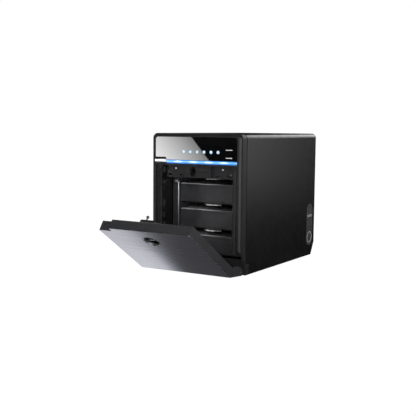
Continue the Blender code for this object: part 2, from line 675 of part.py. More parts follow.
def fan_spoke(name, angle, inner, outer, half_width, span):
    """Helper bar running outwards from the fan's axis."""
    cos, sin = math.cos(angle), math.sin(angle)
    outline = [(along * cos - side * sin, FAN_Z + along * sin + side * cos)
               for along, side in rect((inner, outer), centred(half_width))]
    return prism(name, outline, 'xz', span)


def fan_frame():
    half = 40
    outline = rounded(centred(half), (FAN_Z - half, FAN_Z + half), (4,) * 4, 3)
    fan = prism("fan_frame", outline, 'xz', (FAN_D0, 207.9), FAN_BLACK)
    cut(fan, fan_disc("cut_fan_bore", 38.0, (190, 215)))
    for k, angle in enumerate(DIAGONALS):
        join(fan, fan_spoke("add_fan_spoke_%d" % (k + 1), angle, inner=5, outer=39,
                            half_width=1.6, span=(FAN_D0, 200.4)))
    join(fan, fan_disc("add_fan_hub", 14.0, (FAN_D0, 200.6), count=24))


def fan_blade(number, start_angle, origin):
    """Helper for one swept blade, lofted outwards from inside the hub."""
    root_r, tip_r = 11.5, 36.4
    middle_d, half_depth = 204.2, 2.5
    half_sheet = 0.55
    stations = []
    for j in range(5):
        radius = root_r + (tip_r - root_r) * j / 4
        lean = 0.34 * (0.62 - 0.05 * j)     # half angle between front and back edges
        sweep = start_angle + 0.13 * j
        station = []
        for edge, side in ((-1, -1), (-1, 1), (1, 1), (1, -1)):
            angle = sweep + edge * lean + side * half_sheet / radius
            station.append((radius * math.cos(angle), middle_d + edge * half_depth,
                            FAN_Z + radius * math.sin(angle)))
        stations.append(station)
    return loft("add_blade_%d" % number, stations, None, origin)


def fan_rotor():
    blades = 7
    origin = (0, 204.0, FAN_Z)
    rotor = fan_disc("fan_rotor", 13.0, (201.0, 207.4), count=28, mat=FAN_BLACK,
                     origin=origin, smooth=True)
    for k in range(blades):
        join(rotor, fan_blade(k + 1, 2 * math.pi * k / blades, origin))


def fan_grille():
    """Finger guard over the fan window: rings, diagonal spokes and ears with screws."""
    wire = (209.8, 211.0)
    clear = (205, 215)
    ring_width = 1.5
    guard = fan_disc("fan_grille", 38.6, wire, mat=STEEL, smooth=True)
    cut(guard, fan_disc("cut_guard_field", 36.8, clear))
    for k, radius in enumerate((29.0, 21.0, 13.0)):
        join(guard, fan_disc("add_guard_ring_%d" % k, radius, wire, count=32))
        cut(guard, fan_disc("cut_guard_ring_%d" % k, radius - ring_width, clear, count=32))
    for k, angle in enumerate(DIAGONALS):
        join(guard, fan_spoke("add_guard_spoke_%d" % k, angle, inner=10.5, outer=50.0,
                              half_width=0.9, span=(209.9, 210.9)))
        x = SCREW_RADIUS * math.cos(angle)
        z = FAN_Z + SCREW_RADIUS * math.sin(angle)
        join(guard, prism("add_guard_ear_%d" % k, circle(x, z, 4.0, 16), 'xz', wire))
        screw("fan_screw_%d" % (k + 1), x, z, 211.6,
              [(3.0, 211.2), (3.0, 211.5), (2.3, 211.9), (1.1, 212.0)])


# ---------------------------------------------------------------- sockets at the back
def dc_jack():
    jack = box("dc_jack", JACK_X, SOCKET_D, JACK_Z, PORT_DARK)
    center = (middle(JACK_X), middle(JACK_Z))
    cut(jack, prism("cut_dc_jack", circle(*center, 4.0, 20), 'xz', (202, 215)))
    join(jack, prism("add_dc_jack_pin", circle(*center, 1.2, 12), 'xz', (200.5, 209.8)))


def port(kind, x, z, wall, tongue_x, tongue_z, tongue_end):
    """Open metal box with a tongue inside."""
    shell = box(kind + "_port", x, SOCKET_D, z, PORT)
    cut(shell, box("cut_%s_port" % kind, widen(x, -wall), (201, 215), widen(z, -wall)))
    join(shell, box("add_%s_tongue" % kind, tongue_x, (200.5, tongue_end), tongue_z))


# ---------------------------------------------------------------- feet and front screws
def feet():
    # foot profile: (radius, z)
    profile = [(6.2, -FOOT_H), (7.0, -FOOT_H + 0.8), (7.0, 0.0)]
    places = [(x, depth) for depth in (36, 186) for x in (-48, 48)]
    for k, (x, depth) in enumerate(places):
        stations = [[(px, py, z) for px, py in circle(x, depth, radius, 24)]
                    for radius, z in profile]
        loft("foot_%d" % (k + 1), stations, RUBBER, (x, depth, -FOOT_H / 2), smooth=True)


def cage_screws():
    """Screws just in front of the cage flange."""
    face = FLANGE_D - GAP
    profile = [(2.6, face), (2.6, face - 0.5), (1.9, face - 1.1), (0.9, face - 1.3)]
    places = [(x, z) for z in (106.0, 24.0) for x in (-56.0, 56.0)]
    for k, (x, z) in enumerate(places):
        screw("cage_screw_%d" % (k + 1), x, z, face, profile)


# ---------------------------------------------------------------- assembly
outer_shell()
side_badge()
base_tray()
rear_panel()
front_bezel()
control_panel()
front_controls()
latch_catch()
door()
drive_cage()
for k, z in enumerate(DRIVE_Z):
    drive(k + 1, z)
    drive_handle(k + 1, z)
    sata_connector(k + 1, z)
boards()
fan_frame()
fan_rotor()
fan_grille()
dc_jack()
port("usb", USB_X, USB_Z, wall=1.2, tongue_x=(-15.0, -9.0), tongue_z=(32.4, 36.2),
     tongue_end=209.6)
port("esata", ESATA_X, ESATA_Z, wall=1.4, tongue_x=(16.5, 27.5), tongue_z=(32.2, 33.8),
     tongue_end=209.4)
feet()
cage_screws()
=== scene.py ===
from collections import namedtuple
import json
import math

import bmesh
import bpy
from mathutils import Matrix, Vector

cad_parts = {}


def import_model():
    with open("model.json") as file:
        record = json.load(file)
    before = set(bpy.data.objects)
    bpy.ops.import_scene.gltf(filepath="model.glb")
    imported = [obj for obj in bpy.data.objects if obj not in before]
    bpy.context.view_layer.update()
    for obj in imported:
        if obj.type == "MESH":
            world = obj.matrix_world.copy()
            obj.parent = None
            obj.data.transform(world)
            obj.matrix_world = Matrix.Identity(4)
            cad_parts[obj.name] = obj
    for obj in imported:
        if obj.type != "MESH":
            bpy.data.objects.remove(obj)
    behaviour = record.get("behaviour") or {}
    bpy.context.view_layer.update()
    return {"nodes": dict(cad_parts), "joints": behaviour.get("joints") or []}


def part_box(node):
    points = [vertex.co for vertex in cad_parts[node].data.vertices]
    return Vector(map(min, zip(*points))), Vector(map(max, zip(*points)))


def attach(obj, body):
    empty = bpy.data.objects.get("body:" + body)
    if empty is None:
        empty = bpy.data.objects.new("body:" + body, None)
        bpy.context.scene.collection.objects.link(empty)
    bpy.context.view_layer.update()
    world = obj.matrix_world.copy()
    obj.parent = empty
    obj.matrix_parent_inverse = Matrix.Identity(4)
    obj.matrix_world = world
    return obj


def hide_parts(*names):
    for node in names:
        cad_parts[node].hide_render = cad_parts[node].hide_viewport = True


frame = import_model()
NODES = frame["nodes"]
MM = 0.001

# ================================================================ dimensions from the CAD frame
FRONT_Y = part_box("front_bezel")[0].y * 1000
FOOT_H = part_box("outer_shell")[0].z * 1000
HINGE = next(j for j in frame["joints"] if j["name"] == "door_hinge")
PIVOT = Vector(HINGE["pos_m"])
SWING = Matrix.Rotation(math.radians(-HINGE["range_deg"][0]), 4, 'X')
OPEN = Matrix.Translation(PIVOT) @ SWING @ Matrix.Translation(-PIVOT)
SHUT = OPEN.inverted()
PIVOT_D, PIVOT_Z = PIVOT.y * 1000 - FRONT_Y, PIVOT.z * 1000 - FOOT_H


class Span(namedtuple("Span", "x0 x1 d0 d1 z0 z1")):
    """The extent of a piece along each local axis."""

    @property
    def mid_x(self):
        return (self.x0 + self.x1) / 2

    @property
    def mid_d(self):
        return (self.d0 + self.d1) / 2

    @property
    def mid_z(self):
        return (self.z0 + self.z1) / 2

    @property
    def radius(self):
        return (self.x1 - self.x0) / 2


def span(node, door=False):
    """Extent of a CAD node in local millimetres; for a door node, with the door shut."""
    lo, hi = Vector((1e9,) * 3), Vector((-1e9,) * 3)
    for v in NODES[node].data.vertices:
        point = SHUT @ v.co if door else v.co
        lo = Vector(map(min, lo, point))
        hi = Vector(map(max, hi, point))
    return Span(lo.x * 1000, hi.x * 1000, lo.y * 1000 - FRONT_Y, hi.y * 1000 - FRONT_Y,
                lo.z * 1000 - FOOT_H, hi.z * 1000 - FOOT_H)


def level(z):
    """A local height as a height in metres."""
    return (z + FOOT_H) * MM


def world(x, d, z):
    return Vector((x * MM, (FRONT_Y + d) * MM, level(z)))


SHELL = span("outer_shell")
W, H, D = SHELL.x1 - SHELL.x0, SHELL.z1, SHELL.d1
SEAM = SHELL.d0                  # front edge of the cover
CHIN_D = span("front_bezel").d1
BEZEL_D = SEAM - 1.3
PANEL, BAR, KEY = span("control_panel"), span("light_bar"), span("power_button")
LEDS = [span(f"status_led_{k}") for k in range(1, 7)]
SKIN, LINER = span("door_skin", True), span("door_liner", True)
HOUSING, SLIDE = span("latch_housing", True), span("door_latch", True)
FINGER = span("finger_ring", True)
CATCH, CAGE, BADGE = span("latch_catch"), span("drive_cage"), span("side_badge")
DRIVES = [span(f"drive_{k}") for k in range(1, 5)]
HANDLES = [span(f"drive_handle_{k}") for k in range(1, 5)]
REAR, FAN, ROTOR, GUARD = map(span, ("rear_panel", "fan_frame", "fan_rotor", "fan_grille"))
JACK, USB, ESATA = map(span, ("dc_jack", "usb_port", "esata_port"))
# the stud is the part of the latch more than 8 mm behind the bezel's front plane
stud = [SHUT @ v.co for v in NODES["door_latch"].data.vertices]
stud = [p.x * 1000 for p in stud if p.y * 1000 - FRONT_Y > 8.0]
STUD_X = (min(stud) + max(stud)) / 2

GAP = 0.3
CORNER_R, RIM_R = 6.0, 4.5       # upper corners of the case; round-over of the bezel's front edge
SHELL_T = 1.5
CHIN_Z = 13.0
OPEN_X, OPEN_TOP, SILL_Z = 57.5, 128.6, 19.0    # recess the door closes into
LIP_X = 50.5                     # half width of the opening behind it
TRAY_X = W / 2 - SHELL_T - GAP
FULL = (-70, 70)                 # a cutter's reach right across the case


# ================================================================ materials
SOCKETS = {"color": "Base Color", "rough": "Roughness", "metal": "Metallic", "ior": "IOR",
           "spec": "Specular IOR Level", "coat_rough": "Coat Roughness",
           "emit": "Emission Color", "strength": "Emission Strength", "aniso": "Anisotropic"}


class Material:
    """A node-built material in object coordinates (metres)."""

    def __init__(self, name, shader="BsdfPrincipled"):
        self.data = bpy.data.materials.new(name)
        self.data.use_nodes = True
        self.tree = self.data.node_tree
        self.tree.nodes.clear()
        output = self.add("OutputMaterial")
        self.shader = self.add(shader)
        self.put(output.inputs["Surface"], self.shader.outputs[0])
        self.coords = self.add("TexCoord").outputs

    def add(self, kind, **props):
        node = self.tree.nodes.new("ShaderNode" + kind)
        for key, value in props.items():
            setattr(node, key, value)
        return node

    def put(self, socket, value):
        """Link a node's output to a socket, or set its value; a tuple is a colour without alpha."""
        if isinstance(value, bpy.types.NodeSocket):
            self.tree.links.new(value, socket)
        elif isinstance(value, tuple):
            socket.default_value = (*value, 1.0)
        else:
            socket.default_value = value

    def set(self, **values):
        for key, value in values.items():
            self.put(self.shader.inputs[SOCKETS[key]], value)

    def scaled(self, scale):
        node = self.add("Mapping")
        node.inputs["Scale"].default_value = scale
        self.put(node.inputs["Vector"], self.coords["Object"])
        return node.outputs[0]

    def noise(self, scale, detail, coords=None):
        node = self.add("TexNoise")
        node.inputs["Scale"].default_value = scale
        node.inputs["Detail"].default_value = detail
        self.put(node.inputs["Vector"], coords or self.coords["Object"])
        return node.outputs[0]

    def axis(self, index, coords="Object"):
        node = self.add("SeparateXYZ")
        self.put(node.inputs[0], self.coords[coords])
        return node.outputs[index]

    def math(self, operation, a, b=0.0, c=0.0):
        node = self.add("Math", operation=operation)
        for socket, value in zip(node.inputs, (a, b, c)):
            self.put(socket, value)
        return node.outputs[0]

    def mul(self, a, b):
        return self.math('MULTIPLY', a, b)

    def sub(self, a, b):
        return self.math('SUBTRACT', a, b)

    def within(self, value, centre, half):
        """1 where the value lies within half of centre, else 0."""
        return self.math('LESS_THAN', self.math('ABSOLUTE', self.sub(value, centre)), half)

    def between(self, value, lo, hi, out_lo, out_hi):
        node = self.add("MapRange")
        for i, v in enumerate((value, lo, hi, out_lo, out_hi)):
            self.put(node.inputs[i], v)
        return node.outputs[0]

    def ramp(self, factor, stops):
        node = self.add("ValToRGB")
        elements = node.color_ramp.elements
        while len(elements) < len(stops):
            elements.new(0.5)
        for element, (position, color) in zip(elements, stops):
            element.position = position
            element.color = (*color, 1.0)
        self.put(node.inputs[0], factor)
        return node.outputs[0]

    def mix(self, factor, a, b):
        node = self.add("Mix", data_type='RGBA')
        for i, v in ((0, factor), (6, a), (7, b)):
            self.put(node.inputs[i], v)
        return node.outputs[2]

    def cloud(self, scale, low, high, coords=None):
        """A value clouded between low and high."""
        return self.between(self.noise(scale, 3, coords), 0.3, 0.7, low, high)

    def cloud_color(self, scale, dark, light, detail=3):
        return self.ramp(self.noise(scale, detail), [(0.3, dark), (0.7, light)])

    def bump(self, scale, strength, distance, detail=2, coords=None):
        node = self.add("Bump")
        node.inputs["Strength"].default_value = strength
        node.inputs["Distance"].default_value = distance
        self.put(node.inputs["Height"], self.noise(scale, detail, coords))
        self.put(self.shader.inputs["Normal"], node.outputs[0])


def surface(name, base, rough, metal, mottle, rough_noise, grain, spec=0.5):
    """Clouded base colour, clouded roughness and a fine grain.

    mottle and rough_noise are (noise scale, amount); grain is (scale, strength, distance in m).
    """
    mat = Material(name)
    scale, amount = mottle
    rough_scale, spread = rough_noise
    mat.set(color=mat.cloud_color(scale, tuple(c * (1 - amount) for c in base),
                                  tuple(c * (1 + amount) for c in base), detail=4),
            rough=mat.cloud(rough_scale, rough - spread, rough + spread),
            metal=metal, spec=spec, coat_rough=0.1)
    mat.bump(*grain)
    return mat


# columns: name, base colour, roughness, metallic, mottle, rough_noise, grain
COVER = surface("cover_satin_black", (0.004, 0.004, 0.0045), 0.31, 0.0,
                (25, 0.1), (130, 0.03), (3200, 0.12, 3e-5))
MOULDING = surface("moulding_fine_grain", (0.017, 0.017, 0.0185), 0.42, 0.0,
                   (40, 0.12), (300, 0.05), (2200, 0.2, 4e-5), spec=0.35)
CAGE_SHEET = surface("cage_dark_sheet", (0.085, 0.085, 0.09), 0.45, 0.6,
                     (45, 0.15), (160, 0.07), (900, 0.1, 4e-5))
ZINC = surface("zinc_plate", (0.42, 0.42, 0.44), 0.32, 0.9,
               (120, 0.10), (350, 0.05), (1800, 0.05, 2e-5))
LATCH_STEEL = surface("latch_dark_steel", (0.10, 0.10, 0.105), 0.3, 0.8,
                      (120, 0.12), (350, 0.05), (1800, 0.06, 2e-5))
PORT_PLATE = surface("port_plate", (0.5, 0.5, 0.52), 0.28, 0.9,
                     (260, 0.1), (800, 0.06), (2500, 0.1, 2e-5))
DOOR_MOULDING = surface("door_moulding_fine_grain", (0.032, 0.032, 0.035), 0.4, 0.0,
                        (40, 0.12), (300, 0.05), (2200, 0.2, 4e-5))
DARK_PLASTIC = surface("dark_plastic", (0.018, 0.018, 0.019), 0.5, 0.0,
                       (70, 0.15), (500, 0.06), (1800, 0.25, 5e-5))
RUBBER = surface("foot_rubber", (0.02, 0.02, 0.02), 0.8, 0.0,
                 (120, 0.2), (500, 0.08), (1200, 0.4, 8e-5))
# black strip in the seam between bezel and cover: painted shade that darkens the seam
SEAM_SHADE = surface("seam_painted_shade_matt", (0.004, 0.004, 0.004), 0.9, 0.0,
                 (200, 0.2), (600, 0.05), (1500, 0.3, 5e-5), spec=0.08)
# near-white screw heads: a painted highlight
SCREW_PAINTED_GLINT = surface("screw_head_painted_highlight", (0.78, 0.78, 0.8), 0.4, 0.0,
                    (160, 0.15), (600, 0.08), (1800, 0.1, 3e-5))
BADGE_GREY = surface("badge_satin_grey", (0.11, 0.11, 0.115), 0.28, 0.0,
                     (80, 0.15), (300, 0.04), (1800, 0.06, 2e-5))
BADGE_PLATE = surface("badge_ring_plate", (0.5, 0.5, 0.52), 0.4, 0.15,
                      (300, 0.15), (800, 0.08), (2500, 0.12, 3e-5))

# rolled edge of the bay: painted light, bright at the top, and painted shade darkening it towards
# the floor
ROLLED_EDGE = mat = Material("bay_edge_painted_light_to_shade")
rise = mat.between(mat.axis(2), 0.055, 0.112, 0.0, 1.0)
uneven = mat.mul(mat.sub(mat.noise(300, 3), 0.5), 0.15)
mat.set(color=mat.ramp(mat.math('ADD', rise, uneven),
                       [(0.0, (0.10, 0.10, 0.11)), (0.4, (0.24, 0.24, 0.25)),
                        (0.75, (0.8, 0.8, 0.82)), (1.0, (0.9, 0.9, 0.92))]),
        rough=mat.cloud(600, 0.32, 0.46), metal=0.1)
mat.bump(scale=1800, strength=0.1, distance=3e-5)

# drive: dark casting under a bare lid, painted bright along its top as a highlight that fades to
# the right as painted shade;
# heights are fractions of the bay pitch, so one pattern serves all four
CASTING = mat = Material("drive_casting_lid_highlight_foot_shade")
LID_T = 0.0012
FOOT_SHADE, FOOT_SHADE_CLEAR = 0.0022, 0.0034    # painted shade at the foot of the casting fades out between these
pitch = (DRIVES[1].z0 - DRIVES[0].z0) * MM
height = mat.sub(mat.axis(2), level(DRIVES[0].z0))
height = mat.math('FRACT', mat.math('DIVIDE', height, pitch))
drive_top = (DRIVES[0].z1 - DRIVES[0].z0) * MM / pitch
# painted highlight on the lid, fading to the right as painted shade
lid_and_highlight = mat.mul(mat.math('GREATER_THAN', height, drive_top - LID_T / pitch),
              mat.between(mat.axis(0), -0.026, 0.014, 1.0, 0.08))
above_foot_shade = mat.between(height, FOOT_SHADE / pitch, FOOT_SHADE_CLEAR / pitch, 0.0, 1.0)
cast = mat.cloud_color(90, (0.036, 0.036, 0.039), (0.052, 0.052, 0.056), detail=4)
# painted shade along the foot of each drive, where it meets the gap below
cast = mat.mix(above_foot_shade, (0.008, 0.008, 0.008), cast)
bare_lid_and_highlight = mat.cloud_color(300, (0.72, 0.72, 0.73), (0.86, 0.86, 0.87))
mat.set(color=mat.mix(lid_and_highlight, cast, bare_lid_and_highlight), rough=mat.cloud(400, 0.36, 0.48), metal=mat.mul(lid_and_highlight, 0.6))
mat.bump(scale=1500, strength=0.25, distance=5e-5)

# pull tab: bright plated lip; its root is darkened as painted shade
TAB_PLATE = mat = Material("pull_tab_plated_root_shade")
tab_y = FRONT_Y + DRIVES[0].d0
root_shade = mat.between(mat.axis(1), (tab_y - 4.9) * MM, (tab_y - 4.3) * MM, 0.0, 1.0)
bright = mat.cloud_color(260, (0.62, 0.62, 0.63), (0.78, 0.78, 0.79))
mat.set(color=mat.mix(root_shade, bright, (0.04, 0.04, 0.042)),
        rough=mat.cloud(700, 0.3, 0.42), metal=0.3)
mat.bump(scale=900, strength=0.15, distance=4e-5)

# door face: brushed along x, so the streaks vary quickly across the brushing
BRUSHED = mat = Material("door_brushed_face")
streaks = mat.scaled((22, 1500, 1500))
patches = mat.scaled((5, 260, 260))
mat.set(color=mat.ramp(mat.noise(1.0, 3, streaks),
                       [(0.25, (0.42, 0.42, 0.46)), (0.75, (0.52, 0.52, 0.57))]),
        rough=mat.cloud(1.0, 0.22, 0.29, patches), metal=0.92, aniso=0.35)
mat.bump(scale=1.0, strength=0.035, distance=3e-5, detail=4, coords=streaks)

# glossy strip: near-black acrylic with two small dashes, above and below the lights
ACRYLIC = mat = Material("gloss_panel_acrylic")
DASH_X, DASH_HALF_H = 46.9 * MM, 0.52 * MM
DASHES = ((2.9, 4.5), (-6.4, 4.2))        # height above the lights, half width
x, z = mat.axis(0), mat.axis(2)
dashes = [mat.mul(mat.within(x, DASH_X, half * MM),
                  mat.within(z, level(LEDS[0].mid_z + above), DASH_HALF_H))
          for above, half in DASHES]
black = mat.cloud_color(90, (0.003, 0.003, 0.0035), (0.005, 0.005, 0.0055))
mat.set(color=mat.mix(mat.math('ADD', *dashes), black, (0.8, 0.8, 0.8)),
        rough=mat.cloud(500, 0.008, 0.02), ior=1.9)
mat.bump(scale=35, strength=0.02, distance=5e-5)

# light guide: hot spots at one pitch along x, brightest just above mid height, dimmer to the right
LIGHT_GUIDE = mat = Material("light_guide_lit")
SPOT_X, SPOT_PITCH = (BAR.x0 + 17.3) * MM, 0.0216
CORE_Z, CORE_HALF_H = level(BAR.mid_z + 0.35), 0.0019
x, z = mat.axis(0), mat.axis(2)
wave = mat.math('COSINE', mat.mul(mat.sub(x, SPOT_X), 2 * math.pi / SPOT_PITCH))
spots = mat.math('POWER', mat.math('MULTIPLY_ADD', wave, 0.5, 0.5), 1.6)
core = mat.sub(1.0, mat.mul(mat.math('ABSOLUTE', mat.sub(z, CORE_Z)), 1 / CORE_HALF_H))
glow = mat.mul(mat.math('MULTIPLY_ADD', spots, 0.55, 0.5), mat.math('MAXIMUM', core, 0.05))
glow = mat.mul(glow, mat.between(x, (BAR.x1 - 22.0) * MM, BAR.x1 * MM, 1.0, 0.72))
glow = mat.math('ADD', glow, mat.mul(mat.sub(mat.noise(700, 3), 0.5), 0.1))
mat.set(color=(0.1, 0.3, 0.8), rough=0.3, strength=1.0,
        emit=mat.ramp(glow, [(0.0, (0.008, 0.05, 0.2)), (0.22, (0.02, 0.15, 0.5)),
                             (0.4, (0.14, 0.42, 0.85)), (0.6, (0.62, 0.84, 1.0)),
                             (0.75, (1.0, 1.0, 1.0))]))

LENS = mat = Material("led_lens_lit")
mat.set(color=(0.5, 0.65, 0.8), rough=mat.cloud(900, 0.2, 0.35), strength=0.66,
        emit=mat.cloud_color(600, (0.26, 0.42, 0.60), (0.46, 0.60, 0.76), detail=2))

# power key: a pale lit band across the middle of its height
KEY_PALE = mat = Material("key_pale")
key_rise = (mat.axis(2), level(KEY.z0), level(KEY.z1), 0.0, 1.0)
mat.set(color=mat.ramp(mat.between(*key_rise),
                       [(0.0, (0.02, 0.02, 0.022)), (0.28, (0.04, 0.04, 0.045)),
                        (0.35, (0.9, 0.91, 0.94)), (0.66, (0.95, 0.96, 0.98)),
                        (0.72, (0.03, 0.03, 0.033)), (1.0, (0.02, 0.02, 0.022))]),
        rough=mat.cloud(400, 0.28, 0.4), strength=0.6,
        emit=mat.ramp(mat.between(*key_rise),
                      [(0.31, (0.0, 0.0, 0.0)), (0.38, (0.9, 0.93, 1.0)),
                       (0.62, (0.9, 0.93, 1.0)), (0.69, (0.0, 0.0, 0.0))]))
mat.bump(scale=1500, strength=0.1, distance=3e-5)

BOARD = mat = Material("board_solder_mask")
brick = mat.add("TexBrick")
for socket, value in (("Scale", 180), ("Mortar Size", 0.03), ("Color1", (0.008, 0.045, 0.022)),
                      ("Color2", (0.010, 0.055, 0.028)), ("Mortar", (0.02, 0.1, 0.05)),
                      ("Vector", mat.coords["Object"])):
    mat.put(brick.inputs[socket], value)
mat.set(color=brick.outputs[0], rough=mat.cloud(400, 0.35, 0.55))
mat.bump(scale=800, strength=0.15, distance=4e-5)


# ================================================================ outlines
def rect(x0, x1, z0, z1):
    return [(x0, z0), (x1, z0), (x1, z1), (x0, z1)]


def circle(ca, cb, r, n):
    return [(ca + r * math.cos(2 * math.pi * i / n), cb + r * math.sin(2 * math.pi * i / n))
            for i in range(n)]


def arc(ca, cb, r, start, end, n):
    angles = [math.radians(start + (end - start) * k / n) for k in range(n + 1)]
    return [(ca + r * math.cos(a), cb + r * math.sin(a)) for a in angles]


def rounded(x0, x1, z0, z1, radii, seg=8):
    """Rectangle with one corner radius, or four from the low-x low-z corner anticlockwise."""
    if not isinstance(radii, tuple):
        radii = (radii,) * 4
    corners = [(x0, z0, 180), (x1, z0, 270), (x1, z1, 0), (x0, z1, 90)]
    pts = []
    for (cx, cz, start), r in zip(corners, radii):
        if r <= 0:
            pts.append((cx, cz))
            continue
        ox = cx + (r if cx == x0 else -r)
        oz = cz + (r if cz == z0 else -r)
        pts += arc(ox, oz, r, start, start + 90.0, seg)
    return pts


def arch(inset, low, n):
    """Left wall, rounded top and right wall of the case, moved inwards by inset."""
    r = CORNER_R - inset
    return ([(-W / 2 + inset, low)] + arc(-W / 2 + CORNER_R, H - CORNER_R, r, 180, 90, n)
            + arc(W / 2 - CORNER_R, H - CORNER_R, r, 90, 0, n) + [(W / 2 - inset, low)])


def band(outer, inner, low, n=14):
    return arch(outer, low, n) + arch(inner, low, n)[::-1]


def mirrored(side, a, b):
    """The x range between a and b, on the right for side 1 and the left for side -1."""
    return sorted((side * a, side * b))


# ================================================================ bodies
# how an outline (a, b) and its sweep c fall on the local axes
PLANES = {
    'xz': lambda a, b, c: (a, c, b),
    'dz': lambda a, b, c: (c, a, b),
    'xd': lambda a, b, c: (a, b, c),
}


def add_object(name, data):
    obj = bpy.data.objects.new(name, data)
    bpy.context.scene.collection.objects.link(obj)
    return obj


def mesh_object(name, bm):
    mesh = bpy.data.meshes.new(name)
    bm.to_mesh(mesh)
    bm.free()
    return add_object(name, mesh)


def placed(name, bm, door):
    """Turn a local mesh into an object, swung open if it belongs to the door."""
    bmesh.ops.recalc_face_normals(bm, faces=bm.faces)
    for v in bm.verts:
        point = world(*v.co)
        v.co = OPEN @ point if door else point
    return mesh_object(name, bm)


def solid(name, parts, door=False):
    """One object of several prisms, each (outline, plane, lo, hi)."""
    bm = bmesh.new()
    for pts, plane, lo, hi in parts:
        low, high = [[bm.verts.new(PLANES[plane](a, b, c)) for a, b in pts] for c in (lo, hi)]
        bm.faces.new(low)
        bm.faces.new(high[::-1])
        for i in range(len(pts)):
            j = (i + 1) % len(pts)
            bm.faces.new((low[i], high[i], high[j], low[j]))
    return placed(name, bm, door)


def prism(name, pts, plane, lo, hi, door=False):
    return solid(name, [(pts, plane, lo, hi)], door)


def boxes(name, spans, door=False):
    return solid(name, [(rect(x0, x1, z0, z1), 'xz', d0, d1)
                        for x0, x1, d0, d1, z0, z1 in spans], door)


def box(name, x0, x1, d0, d1, z0, z1, door=False):
    return boxes(name, [(x0, x1, d0, d1, z0, z1)], door)


def loft(name, loops, door=False, ring=False):
    """Body through loops of (x, d, z) points, capped at both ends or closed into a ring."""
    bm = bmesh.new()
    rows = [[bm.verts.new(p) for p in loop] for loop in loops]
    n = len(rows[0])
    pairs = list(zip(rows, rows[1:]))
    if ring:
        pairs.append((rows[-1], rows[0]))
    for row, following in pairs:
        for i in range(n):
            j = (i + 1) % n
            bm.faces.new((row[i], row[j], following[j], following[i]))
    if not ring:
        bm.faces.new(rows[0])
        bm.faces.new(rows[-1][::-1])
    return placed(name, bm, door)


def lathe(name, profile, plane, ca, cb, n, door=False, ring=False):
    """Turned body; profile is (radius, along the axis), centred at (ca, cb) in the plane."""
    return loft(name, [[PLANES[plane](a, b, along) for a, b in circle(ca, cb, r, n)]
                       for r, along in profile], door, ring)


TOOLS = []                       # boolean operands, deleted at the end


def cut(obj, tool, operation='DIFFERENCE'):
    mod = obj.modifiers.new("boolean", 'BOOLEAN')
    mod.operation = operation
    mod.solver = 'EXACT'
    mod.object = tool
    TOOLS.append(tool)


def join(obj, tool):
    cut(obj, tool, 'UNION')


def cross_slot(screw, at, half_length, half_width, d0, d1):
    """Cut a cross into the head of a screw centred on the span at."""
    for hx, hz in ((half_length, half_width), (half_width, half_length)):
        cut(screw, box("tool", at.mid_x - hx, at.mid_x + hx, d0, d1, at.mid_z - hz, at.mid_z + hz))


def bake(obj):
    bpy.context.view_layer.update()
    graph = bpy.context.evaluated_depsgraph_get()
    baked = bpy.data.meshes.new_from_object(obj.evaluated_get(graph))
    obj.modifiers.clear()
    old = obj.data
    obj.data = baked
    bpy.data.meshes.remove(old)


def finish(obj, material, replaces=None, bevel=None, smooth=35.0, body="enclosure"):
    """Freeze the booleans, bevel, shade and paint the piece, and hang it on its body.

    bevel is (width in mm, segments, least edge angle), the angle 40 when left out.
    """
    bake(obj)
    bm = bmesh.new()
    bm.from_mesh(obj.data)
    bmesh.ops.remove_doubles(bm, verts=bm.verts, dist=2e-6)
    bmesh.ops.dissolve_limit(bm, angle_limit=math.radians(0.4), verts=bm.verts, edges=bm.edges)
    bm.to_mesh(obj.data)
    bm.free()
    if bevel:
        width, segments, angle = (*bevel, 40)[:3]
        mod = obj.modifiers.new("edges", 'BEVEL')
        mod.width = width * MM
        mod.segments = segments
        mod.limit_method = 'ANGLE'
        mod.angle_limit = math.radians(angle)
        mod.use_clamp_overlap = True
        mod.harden_normals = False
        bake(obj)
    obj.data.materials.clear()
    obj.data.materials.append(material.data)
    for polygon in obj.data.polygons:
        polygon.material_index = 0
    obj.data.shade_smooth()
    obj.data.set_sharp_from_angle(angle=math.radians(smooth))
    obj.modifiers.new("normals", 'WEIGHTED_NORMAL').keep_sharp = True
    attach(obj, body)
    if replaces:
        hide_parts(replaces)


# ================================================================ cover
TAPER_D, TAPER_H = 10.0, 17.0    # the lower back edge slopes forward by this much over this height

cover = prism("cover_sheet", band(0.0, SHELL_T, 0.0, 18), 'xz', SEAM, D)
cut(cover, prism("tool", [(D - TAPER_D, -0.5), (D - TAPER_D - 0.3, -2.0), (D + 6, -2.0),
                          (D + 6, TAPER_H + 6 * TAPER_H / TAPER_D), (D, TAPER_H)], 'dz', *FULL))
cut(cover, box("tool", *FULL, 5, CHIN_D + GAP, -2, CHIN_Z + GAP))
cut(cover, prism("tool", rounded(BADGE.d0 - 0.25, BADGE.d1 + 0.25, BADGE.z0 - 0.25,
                                 BADGE.z1 + 0.25, 8.25, 12), 'dz', W / 2 - 0.8, W / 2 + 2))
finish(cover, COVER, "outer_shell", (0.15, 2, 50), 30)

# badge on the right wall, with a raised ring near its lower end and a bar higher up
badge = prism("badge_plate", rounded(BADGE.d0, BADGE.d1, BADGE.z0, BADGE.z1, 8.0, 12),
              'dz', BADGE.x0, BADGE.x1 - 0.3)
finish(badge, BADGE_GREY, "side_badge", (0.3, 2))
face = BADGE.x1
ring = lathe("badge_ring", [(8.0, face - 0.35), (8.0, face - 0.12), (7.8, face),
                            (6.4, face), (6.2, face - 0.12), (6.2, face - 0.35)],
             'dz', BADGE.mid_d, BADGE.z0 + 11.0, 64, ring=True)
finish(ring, BADGE_PLATE)
badge_bar = rounded(BADGE.d0 + 3.0, BADGE.d1 - 3.0, BADGE.z0 + 39.0, BADGE.z0 + 42.4, 1.2)
finish(prism("badge_bar", badge_bar, 'dz', face - 0.35, face), BADGE_PLATE,
       bevel=(0.15, 2))

